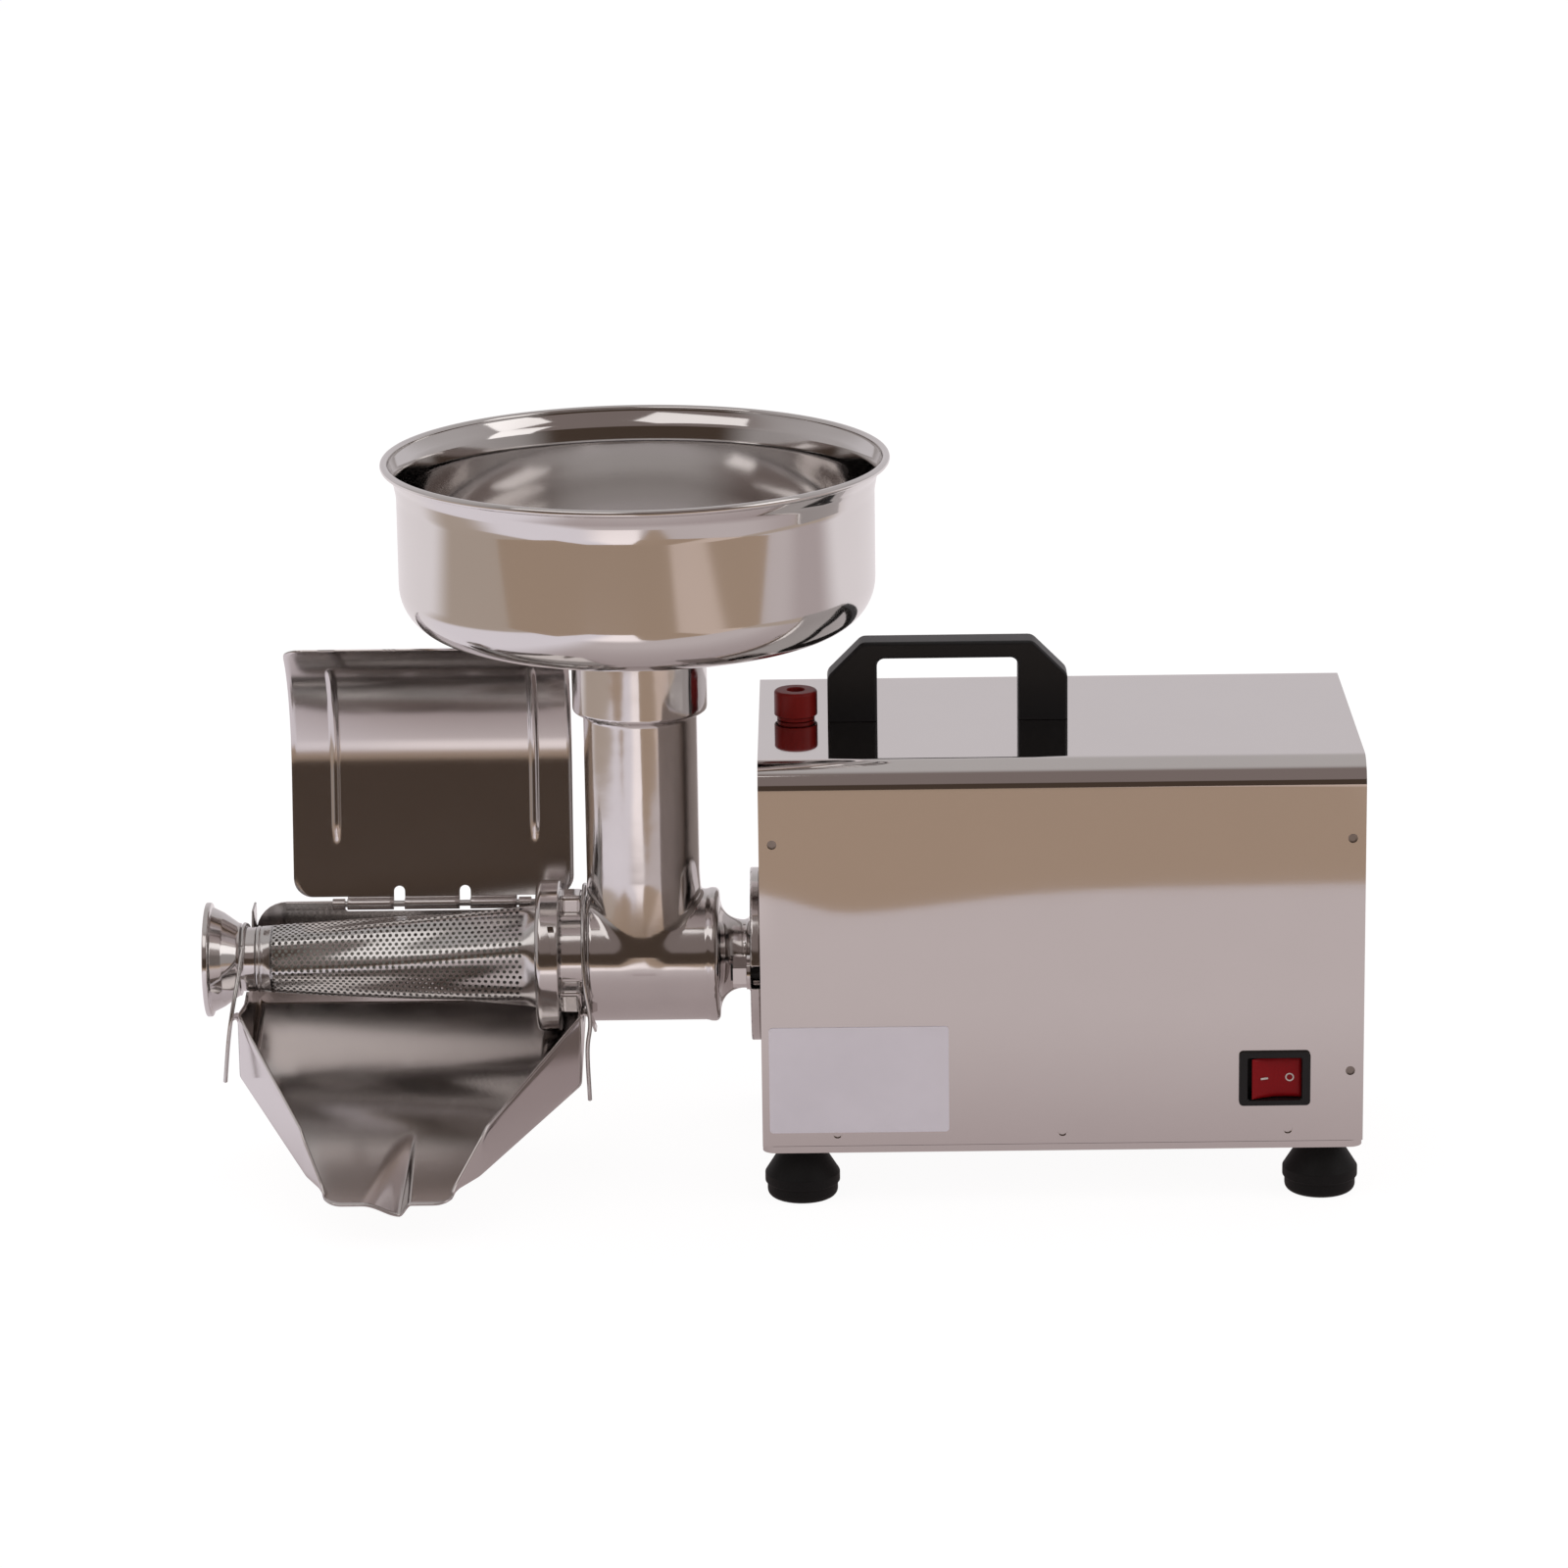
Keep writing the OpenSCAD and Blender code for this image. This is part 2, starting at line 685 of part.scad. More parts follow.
module wrap_cover() {
    color(steel) difference() {
        along_x(box_x0, box_l) difference() {
            box_shape(0, cover_z0);
            box_shape(sheet_t, cover_z0 - cut);
        }
        along_y(box_y0 - cut, sheet_t + 2 * cut) translate([switch_x, switch_z])
            square([switch_body_w + 2 * seam, switch_body_h + 2 * seam], center = true);
        for (s = [-1, 1])
            rod_z(handle_x + s * handle_post_x, axis_y, box_z1 - sheet_t - cut, handle_screw_d + seam, sheet_t + 2 * cut);
        rod_z(reset_x, axis_y, box_z1 - sheet_t - cut, reset_neck_d + seam, sheet_t + 2 * cut);
        rod_y(gland_x, box_y1 - sheet_t - cut, gland_z, gland_d + seam, sheet_t + 2 * cut);
        case_screw_places() translate([0, 0, -cut]) cylinder(h = sheet_t + 2 * cut, d = case_screw_d + seam);
    }
}

// End panel at x, with its flange on the side that dir points to
module end_panel(x, dir) {
    flange_x = dir > 0 ? x : x + sheet_t - flange_w;
    along_x(x, sheet_t) box_shape(inner_step, cover_z0);
    along_x(flange_x, flange_w) difference() {
        box_shape(inner_step, cover_z0);
        box_shape(inner_step + sheet_t, cover_z0 - cut);
    }
}

module left_panel() {
    color(steel) difference() {
        end_panel(box_x0, 1);
        on_axis(box_x0 - cut) cylinder(h = sheet_t + 2 * cut, d = nose_d + 2 * seam);
        for (s = [-1, 1]) rod_x(box_x0 - cut, axis_y + s * stud_pitch / 2, axis_z, stud_d + 2 * seam, sheet_t + 2 * cut);
        translate([reset_x - reset_body_w / 2 - gap, axis_y - reset_body_w / 2 - gap, box_z1 - inner_step - 2 * sheet_t])
            cube([reset_body_w + 2 * gap, reset_body_w + 2 * gap, 3 * sheet_t]);
        case_screw_places() translate([0, 0, -cut]) cylinder(h = inner_step + sheet_t + 2 * cut, d = case_screw_d + seam);
    }
}

module right_panel() {
    color(steel) difference() {
        end_panel(box_x1 - sheet_t, -1);
        for (i = [0:vent_count - 1], s = [-1, 1])
            translate([box_x1 - sheet_t - cut, axis_y + s * vent_l * 0.6 - vent_l / 2,
                axis_z + (i - (vent_count - 1) / 2) * vent_pitch - vent_w / 2])
                cube([sheet_t + 2 * cut, vent_l, vent_w]);
        case_screw_places() translate([0, 0, -cut]) cylinder(h = inner_step + sheet_t + 2 * cut, d = case_screw_d + seam);
    }
}

module foot(x, y) {
    color(black) translate([x, y, 0]) difference() {
        rotate_extrude() polygon(concat([[0, 0], [foot_tip_d / 2 - foot_side_z / 2, 0]],
            arc_points(foot_tip_d / 2 - foot_side_z / 2, foot_side_z / 2, foot_side_z / 2, -90, 0),
            [[foot_tip_d / 2, foot_side_z], [foot_d / 2, foot_side_z], [foot_d / 2, foot_edge_z],
            [foot_top_d / 2, foot_h - seam], [0, foot_h - seam]]));
        translate([0, 0, -cut]) cylinder(h = foot_h - foot_web_t + cut, d = foot_pocket_d);
        cylinder(h = foot_h + cut, d = foot_screw_d + seam);
    }
}
module foot_front_left() foot(foot_xs[0], foot_ys[0]);
module foot_front_right() foot(foot_xs[1], foot_ys[0]);
module foot_rear_left() foot(foot_xs[0], foot_ys[1]);
module foot_rear_right() foot(foot_xs[1], foot_ys[1]);

module foot_screws() {
    color(dark_steel) foot_screw_places() translate([0, 0, foot_h - foot_web_t - seam])
        pan_screw(foot_screw_d, foot_web_t + sheet_t + foot_screw_out);
}

module case_screws() {
    color(dark_steel) case_screw_places() translate([0, 0, -seam]) pan_screw(case_screw_d, case_screw_l);
}

module carry_handle() {
    color(black) difference() {
        along_y(axis_y - handle_depth / 2, handle_depth) translate([handle_x, box_z1 + seam]) difference() {
            polygon([[-handle_w / 2, 0], [handle_w / 2, 0], [handle_w / 2, handle_h - handle_chamfer],
                [handle_w / 2 - handle_chamfer, handle_h], [-handle_w / 2 + handle_chamfer, handle_h],
                [-handle_w / 2, handle_h - handle_chamfer]]);
            translate([-handle_w / 2 + handle_post_w, -cut])
                square([handle_w - 2 * handle_post_w, handle_h - handle_bar_t + cut]);
        }
        for (s = [-1, 1])
            rod_z(handle_x + s * handle_post_x, axis_y, box_z1 - cut, handle_screw_d + seam, handle_screw_depth + cut);
    }
}

module handle_screws() {
    color(dark_steel) for (s = [-1, 1])
        translate([handle_x + s * handle_post_x, axis_y, box_z1 - sheet_t - seam])
            pan_screw(handle_screw_d, handle_screw_depth);
}

module switch_housing() {
    color(black) difference() {
        union() {
            along_y(box_y0 - bezel_t, bezel_t - seam) translate([switch_x, switch_z]) rounded_rect(bezel_w, bezel_h, bezel_r);
            along_y(box_y0 - bezel_t, bezel_t + switch_depth) translate([switch_x, switch_z])
                square([switch_body_w, switch_body_h], center = true);
        }
        along_y(box_y0 - bezel_t - cut, rocker_deep + bezel_t + cut) translate([switch_x, switch_z])
            square([rocker_w + 2 * rocker_fit, rocker_h + 2 * rocker_fit], center = true);
        rod_z(switch_x, box_y0 + rocker_pin_deep, switch_z - rocker_h / 2 - rocker_pin_stub - seam, 2 * (rocker_pin_r + run_fit),
            rocker_h + 2 * (rocker_pin_stub + seam));
    }
}

// The rocker's face is a shallow valley; at rest its right half is in
module switch_rocker() {
    half_w = rocker_w / 2 - rocker_fit;
    stand = bezel_t + rocker_stand;
    color(red) translate([switch_x, box_y0 + rocker_pin_deep, switch_z]) rotate([0, 0, rocker_tilt]) {
        translate([0, 0, -rocker_h / 2]) linear_extrude(rocker_h) polygon([[-half_w * 0.92, -stand - rocker_rise],
            [0, -stand - rocker_rise / 5], [half_w * 0.92, -stand - rocker_rise], [half_w * 0.95, -stand], [half_w * 0.45, 0],
            [rocker_pin_r, rocker_pin_r], [-rocker_pin_r, rocker_pin_r], [-half_w * 0.45, 0], [-half_w * 0.95, -stand]]);
        translate([0, 0, -rocker_h / 2 - rocker_pin_stub]) cylinder(h = rocker_h + 2 * rocker_pin_stub, r = rocker_pin_r);
    }
}

module overload_breaker() {
    color(black) difference() {
        union() {
            translate([reset_x - reset_body_w / 2, axis_y - reset_body_w / 2, box_z1 - sheet_t - seam - reset_body_h])
                cube([reset_body_w, reset_body_w, reset_body_h]);
            rod_z(reset_x, axis_y, box_z1 - sheet_t - cut, reset_neck_d, sheet_t + cut + reset_nut_h);
        }
        rod_z(reset_x, axis_y, box_z1 + reset_nut_h - reset_well_deep, reset_well_d, reset_well_deep + cut);
        rod_z(reset_x, axis_y, box_z1 + reset_nut_h - reset_well_deep - 2 * reset_lift, reset_stem_d + 2 * run_fit,
            2 * reset_lift + cut);
    }
}

module reset_nut() {
    color(red) difference() {
        rod_z(reset_x, axis_y, box_z1 + seam, reset_nut_d, reset_nut_h - seam);
        rod_z(reset_x, axis_y, box_z1 - cut, reset_neck_d + 2 * seam, reset_nut_h + 2 * cut);
    }
}

module reset_button() {
    base_z = box_z1 + reset_nut_h + reset_lift;
    color(red) difference() {
        union() {
            translate([reset_x, axis_y, base_z]) rotate_extrude() polygon(concat([[0, 0], [cap_d / 2, 0]],
                arc_points(cap_d / 2 - cap_h / 4, cap_h - reset_lift - cap_h / 4, cap_h / 4, 0, 90),
                [[0, cap_h - reset_lift]]));
            rod_z(reset_x, axis_y, base_z - reset_well_deep - reset_lift - 2 * gap, reset_stem_d,
                reset_well_deep + reset_lift + 2 * gap + cut);
        }
        rod_z(reset_x, axis_y, base_z + cap_h - reset_lift - reset_recess_deep, reset_recess_d, reset_recess_deep + cut);
    }
}

module reset_spring() {
    free_l = reset_well_deep + reset_lift - 2 * seam;
    mid_d = (reset_well_d + reset_stem_d) / 2;
    steps = spring_turns * spring_steps;
    color(dark_steel) swept_tube([for (i = [0:steps]) let (a = 360 * i / spring_steps)
        [reset_x + mid_d / 2 * cos(a), axis_y + mid_d / 2 * sin(a), box_z1 + reset_nut_h - reset_well_deep + seam
            + spring_wire_d / 2 + (free_l - spring_wire_d) * i / steps]], spring_wire_d, spring_sides, [0, 0, 1]);
}

module label_plate() {
    color([0.82, 0.80, 0.82])
        along_y(box_y0 - label_t, label_t) translate([box_x0 + label_from_left + label_w / 2, box_z0 + label_up + label_h / 2])
            rounded_rect(label_w, label_h, label_t * 4);
}

module cable_gland() {
    color(black) difference() {
        union() {
            rod_y(gland_x, box_y1 - sheet_t - gland_inside_l, gland_z, gland_d, gland_inside_l + sheet_t + gland_head_t);
            rod_y(gland_x, box_y1 + seam, gland_z, gland_head_d, gland_head_t);
            translate([gland_x, box_y1 + gland_head_t, gland_z]) rotate([-90, 0, 0])
                cylinder(h = gland_nose_l, d1 = gland_head_d * 0.75, d2 = gland_d);
        }
        rod_y(gland_x, box_y1 - sheet_t - gland_inside_l - cut, gland_z, gland_bore,
            gland_inside_l + sheet_t + gland_head_t + gland_nose_l + 2 * cut);
    }
}

// Gear outline with straight-sided teeth, turned by phase degrees
module gear(x, y, z, r, module_size, teeth, width, phase) {
    pitch = 360 / teeth;
    thick = pitch / 2 * thickness_share;
    tip_r = r + module_size * addendum_share;
    root_r = r - module_size * dedendum_share;
    translate([x, y, z]) rotate([0, 90, 0]) rotate([0, 0, phase]) linear_extrude(width)
        polygon([for (i = [0:teeth - 1]) let (a = i * pitch) each [
            [root_r * cos(a - thick / 2 * root_share), root_r * sin(a - thick / 2 * root_share)],
            [r * cos(a - thick / 2), r * sin(a - thick / 2)],
            [tip_r * cos(a - thick / 2 * tip_share), tip_r * sin(a - thick / 2 * tip_share)],
            [tip_r * cos(a + thick / 2 * tip_share), tip_r * sin(a + thick / 2 * tip_share)],
            [r * cos(a + thick / 2), r * sin(a + thick / 2)],
            [root_r * cos(a + thick / 2 * root_share), root_r * sin(a + thick / 2 * root_share)]]]);
}

// The line to a gear's mate. Local X is world -Z, local Y is world Y.
to_idler = atan2(sin(idler_angle), -cos(idler_angle));
to_axis = to_idler + 180;

module gearbox_chambers(grow) {
    translate([axis_y, axis_z]) circle(output_chamber_r + grow);
    translate([idler_y, idler_z]) circle(idler_chamber_r + grow);
}

module gearbox_screw_places() {
    for (a = gearbox_screw_angles) {
        on_idler = a < 90 || a == 150;
        cy = on_idler ? idler_y : axis_y;
        cz = on_idler ? idler_z : axis_z;
        r = (on_idler ? idler_chamber_r : output_chamber_r) + gearbox_screw_d * 0.9;
        translate([0, cy + r * cos(a), cz + r * sin(a)]) children();
    }
}

module gearbox_housing() {
    color([0.62, 0.63, 0.64]) difference() {
        union() {
            along_x(gearbox_x0, gearbox_x1 - gearbox_x0 - seam) gearbox_chambers(gearbox_wall);
            gearbox_screw_places() rod_x(gearbox_x0, 0, 0, gearbox_screw_d * 2.4, gearbox_x1 - gearbox_x0 - seam);
            on_axis(nose_x0) cylinder(h = nose_l + cut, d = nose_d);
        }
        difference() {
            along_x(front_wall_x1, gearbox_x1 - front_wall_x1) gearbox_chambers(0);
            on_axis(front_wall_x1 - cut) cylinder(h = boss_x1 - front_wall_x1 + cut, d = bearing_d + 2 * nose_wall);
            rod_x(front_wall_x1 - cut, idler_y, idler_z, idler_shaft_d + 2 * nose_wall, idler_bush_l + cut);
            for (s = [-1, 1])
                rod_x(front_wall_x1 - cut, axis_y + s * stud_pitch / 2, axis_z, stud_boss_d, stud_thread_in - gearbox_wall + stud_boss_cap);
        }
        on_axis(bearing_x0) cylinder(h = boss_x1 - bearing_x0 + cut, d = bearing_d + 2 * seam);
        on_axis(nose_x0 - cut) cylinder(h = nose_l + 2 * cut, d = output_shaft_d + 2 * gap);
        on_axis(nose_x0 - cut) cylinder(h = seal_w + cut, d = seal_d + 2 * seam);
        rod_x(front_wall_x1 - idler_sink, idler_y, idler_z, idler_shaft_d + 2 * run_fit, idler_bush_l + idler_sink + cut);
        for (s = [-1, 1])
            rod_x(gearbox_x0 - cut, axis_y + s * stud_pitch / 2, axis_z, stud_d + seam, stud_thread_in + cut);
        gearbox_screw_places() rod_x(gearbox_x1 - gearbox_thread_l, 0, 0, gearbox_screw_d + seam, gearbox_thread_l + cut);
    }
}

module gearbox_cover() {
    color([0.62, 0.63, 0.64]) difference() {
        union() {
            along_x(gearbox_x1, gearbox_cover_t) gearbox_chambers(gearbox_wall);
            gearbox_screw_places() rod_x(gearbox_x1, 0, 0, gearbox_screw_d * 2.4, gearbox_cover_t);
        }
        on_axis(gearbox_x1 - cut) cylinder(h = gearbox_cover_t + 2 * cut, d = 2 * rotor_pinion_r + 4 * wheel_module);
        rod_x(gearbox_x1 - cut, idler_y, idler_z, idler_shaft_d + 2 * run_fit, idler_bush_l + idler_sink + cut);
        gearbox_screw_places() rod_x(gearbox_x1 - cut, 0, 0, gearbox_screw_d + seam, gearbox_cover_t + 2 * cut);
        gearbox_screw_places() rod_x(gearbox_cover_x1 - screw_head_h - 2 * seam, 0, 0, gearbox_screw_d * head_share + 2 * seam,
            screw_head_h + 2 * seam + cut);
    }
}

module gearbox_screws() {
    color(dark_steel) gearbox_screw_places() translate([gearbox_cover_x1 - screw_head_h - seam, 0, 0]) rotate([0, -90, 0])
        pan_screw(gearbox_screw_d, gearbox_cover_t - screw_head_h + gearbox_screw_in);
}

module output_gear() {
    color([0.60, 0.60, 0.62]) difference() {
        gear(output_gear_x0, axis_y, axis_z, output_r, output_module, output_teeth, output_gear_w, to_idler);
        on_axis(output_gear_x0 - cut) cylinder(h = output_gear_w + 2 * cut, d = output_shaft_d + 2 * seam);
    }
}

module output_shaft() {
    color([0.70, 0.70, 0.72]) difference() {
        on_axis(output_shaft_x0) cylinder(h = output_shaft_x1 - output_shaft_x0, d = output_shaft_d);
        on_axis(output_shaft_x0 - cut) linear_extrude(square_x1 - output_shaft_x0 + gap + cut)
            square(drive_square + 2 * square_fit, center = true);
    }
}

module bearing_ring(x, bore, d, width) {
    on_axis(x) difference() {
        cylinder(h = width, d = d);
        translate([0, 0, -cut]) cylinder(h = width + 2 * cut, d = bore);
    }
}

module output_bearings() {
    color([0.72, 0.72, 0.74]) for (i = [0, 1])
        bearing_ring(bearing_x0 + seam + i * (bearing_w + bearing_gap), output_shaft_d + 2 * run_fit, bearing_d, bearing_w);
}

module shaft_seal() {
    color(black) bearing_ring(nose_x0, output_shaft_d + 2 * run_fit, seal_d, seal_w - seam);
}

module idler_gear() {
    color([0.58, 0.58, 0.60]) {
        gear(output_gear_x0 - gear_play / 2, idler_y, idler_z, idler_pinion_r, output_module, idler_teeth,
            wheel_x0 - output_gear_x0 + gear_play, to_axis + 180 / idler_teeth);
        gear(wheel_x0, idler_y, idler_z, wheel_r, wheel_module, wheel_teeth, wheel_w, to_axis);
        rod_x(front_wall_x1 - idler_sink + gap, idler_y, idler_z, idler_shaft_d,
            gearbox_x1 + idler_bush_l - front_wall_x1 + 2 * idler_sink - 2 * gap);
    }
}

// End bell: an end wall with a bearing seat, a rim and four lugs
module end_bell(x0, x1, wall_at_left, seat_x0) {
    wall_x0 = wall_at_left ? x0 : x1 - bell_t;
    difference() {
        union() {
            on_axis(x0) difference() {
                cylinder(h = x1 - x0, d = stator_d);
                translate([0, 0, -cut]) cylinder(h = x1 - x0 + 2 * cut, d = stator_d - 2 * bell_t);
            }
            on_axis(wall_x0) cylinder(h = bell_t, d = stator_d);
            on_axis(min(wall_x0, seat_x0)) cylinder(h = max(wall_x0 + bell_t, seat_x0 + motor_bearing_w) - min(wall_x0, seat_x0),
                d = motor_bearing_d + 2 * bearing_wall);
            for (a = motor_bolt_angles) on_axis(x0) translate([motor_bolt_r * cos(a), motor_bolt_r * sin(a), 0])
                cylinder(h = x1 - x0, d = motor_bolt_d * 2.2);
        }
        on_axis(seat_x0) cylinder(h = motor_bearing_w + 2 * seam, d = motor_bearing_d + 2 * seam);
        on_axis(wall_at_left ? seat_x0 : seat_x0 - bell_t) cylinder(h = motor_bearing_w + bell_t + cut, d = motor_bearing_d + 2 * seam);
        on_axis(x0 - cut) cylinder(h = x1 - x0 + 2 * cut, d = motor_shaft_d + 2 * bell_hole_fit);
        for (a = motor_bolt_angles) on_axis(x0 - cut) translate([motor_bolt_r * cos(a), motor_bolt_r * sin(a), 0])
            cylinder(h = x1 - x0 + 2 * cut, d = motor_bolt_d + seam);
    }
}

module front_end_bell() {
    color([0.66, 0.67, 0.68]) end_bell(motor_x0, stator_x0 - seam, true, front_bearing_x0);
}

module rear_end_bell() {
    color([0.66, 0.67, 0.68]) end_bell(stator_x1 + seam, rear_bell_x1, false, rear_bell_x1 - bell_t - motor_bearing_w);
}

module stator_core() {
    color([0.45, 0.45, 0.47]) bearing_ring(stator_x0, stator_bore, stator_d, stator_l);
}

module stator_windings() {
    color([0.72, 0.40, 0.20]) for (x = [stator_x0 - winding_l - seam, stator_x1 + seam])
        bearing_ring(x, stator_bore + 2 * winding_in, stator_bore + 2 * (winding_in + winding_t), winding_l);
}

module rotor_core() {
    color([0.50, 0.50, 0.52]) bearing_ring(stator_x0 + rotor_short, motor_shaft_d + 2 * seam, rotor_d, stator_l - 2 * rotor_short);
}

module motor_shaft() {
    shaft_x1 = fan_x0 + fan_w;
    color([0.70, 0.70, 0.72]) {
        gear(wheel_x0 - gear_play / 2, axis_y, axis_z, rotor_pinion_r, wheel_module, rotor_teeth, wheel_w + gear_play,
            to_idler + 180 / rotor_teeth);
        on_axis(wheel_x1) cylinder(h = motor_x0 - wheel_x1 + bell_t, d = 2 * rotor_pinion_r - 3 * wheel_module);
        on_axis(motor_x0) cylinder(h = shaft_x1 - motor_x0, d = motor_shaft_d);
    }
}

module motor_bearings() {
    color([0.72, 0.72, 0.74]) for (x = [front_bearing_x0 + seam, rear_bell_x1 - bell_t - motor_bearing_w + seam])
        bearing_ring(x, motor_shaft_d + 2 * run_fit, motor_bearing_d, motor_bearing_w - seam);
}

module cooling_fan() {
    color([0.20, 0.20, 0.21]) difference() {
        union() {
            on_axis(fan_x0) cylinder(h = fan_w, d = fan_hub_d);
            on_axis(fan_x0) cylinder(h = fan_blade_t, d = fan_d);
            for (i = [0:fan_blades - 1]) on_axis(fan_x0) rotate([0, 0, i * 360 / fan_blades])
                translate([fan_hub_d / 2 - cut, -fan_blade_t / 2, 0]) cube([fan_d / 2 - fan_hub_d / 2, fan_blade_t, fan_w]);
        }
        on_axis(fan_x0 - cut) cylinder(h = fan_w + 2 * cut, d = motor_shaft_d + 2 * seam);
    }
}

module motor_bolts() {
    color(dark_steel) for (a = motor_bolt_angles) on_axis(motor_x0) rotate([0, 0, a]) translate([motor_bolt_r, 0, 0]) {
        cylinder(h = rear_bell_x1 - motor_x0 + motor_bolt_head, d = motor_bolt_d);
        translate([0, 0, rear_bell_x1 - motor_x0 + seam]) cylinder(h = motor_bolt_head, d = motor_bolt_d * 1.8, $fn = 6);
    }
}

module motor_bracket() {
    base_z = box_z0 + sheet_t + seam;
    color([0.55, 0.56, 0.57]) difference() {
        along_x(cradle_x0, cradle_l) difference() {
            union() {
                translate([axis_y - cradle_w / 2, base_z]) square([cradle_w, axis_z - stator_d / 4 - base_z]);
                translate([axis_y - cradle_w / 2 - cradle_foot_w, base_z]) square([cradle_w + 2 * cradle_foot_w, cradle_foot_t]);
            }
            translate([axis_y, axis_z]) circle(stator_d / 2 + seam);
        }
        bracket_screw_places() cylinder(h = cradle_foot_t + 3 * sheet_t, d = bracket_screw_d + seam);
    }
}

module bracket_screws() {
    color(dark_steel) bracket_screw_places() translate([0, 0, -seam]) pan_screw(bracket_screw_d, cradle_foot_t + sheet_t + bracket_screw_out);
}

module run_capacitor() {
    color([0.75, 0.75, 0.76]) {
        rod_x(capacitor_x0, capacitor_y, capacitor_z, capacitor_d, capacitor_l);
        for (s = [-1, 1]) translate([capacitor_x0 + capacitor_l - cut, capacitor_y + s * capacitor_d / 5 - clamp_t, capacitor_z])
            cube([clamp_foot + cut, 2 * clamp_t, clamp_t / 2]);
    }
}

module capacitor_clamp() {
    x = capacitor_x0 + capacitor_l / 2;
    base_z = box_z0 + sheet_t;
    color(black) difference() {
        union() {
            rod_x(x, capacitor_y, capacitor_z, capacitor_d + 2 * seam + 2 * clamp_t, clamp_w);
            translate([x, capacitor_y - capacitor_d / 4, base_z + seam / 2])
                cube([clamp_w, capacitor_d / 2, capacitor_d / 4]);
        }
        rod_x(x - cut, capacitor_y, capacitor_z, capacitor_d + 2 * seam, clamp_w + 2 * cut);
        translate([x - cut, capacitor_y - capacitor_d, base_z - capacitor_d]) cube([clamp_w + 2 * cut, 2 * capacitor_d, capacitor_d]);
    }
}

module terminal_block() {
    x0 = box_x1 - terminal_l - foot_inset;
    y0 = box_y1 - terminal_w - foot_inset;
    z0 = box_z0 + sheet_t + foot_screw_d * 1.3;
    color([0.85, 0.84, 0.80]) difference() {
        union() {
            translate([x0, y0, z0]) cube([terminal_l, terminal_w, terminal_h]);
            translate([x0 + terminal_l / 6, y0 + terminal_w / 4, box_z0 + sheet_t + seam])
                cube([terminal_l / 4, terminal_w / 2, z0 - box_z0]);
        }
        for (i = [0:terminal_count - 1])
            rod_z(x0 + terminal_l * (i + 0.5) / terminal_count, y0 + terminal_w / 2, z0 + terminal_h / 2, terminal_h / 3, terminal_h);
    }
}

module head_studs() {
    color(black) for (s = [-1, 1])
        rod_x(head_flange_x1 - stud_l, axis_y + s * stud_pitch / 2, axis_z, stud_d, stud_l + seam + inner_step + stud_thread_in - cut);
}

module stud_washers() {
    color(steel) for (s = [-1, 1]) difference() {
        rod_x(head_flange_x0 - washer_t - seam, axis_y + s * stud_pitch / 2, axis_z, washer_d, washer_t);
        rod_x(head_flange_x0 - washer_t - cut, axis_y + s * stud_pitch / 2, axis_z, stud_d + 2 * seam, washer_t + 2 * cut);
    }
}

module stud_nuts() {
    color(steel) for (s = [-1, 1]) difference() {
        translate([head_flange_x0 - washer_t - 2 * seam - nut_h, axis_y + s * stud_pitch / 2, axis_z]) rotate([0, 90, 0])
            cylinder(h = nut_h, d = nut_af / cos(30), $fn = 6);
        rod_x(head_flange_x0 - washer_t - nut_h - cut, axis_y + s * stud_pitch / 2, axis_z, stud_d + 2 * seam, nut_h + 2 * cut);
    }
}

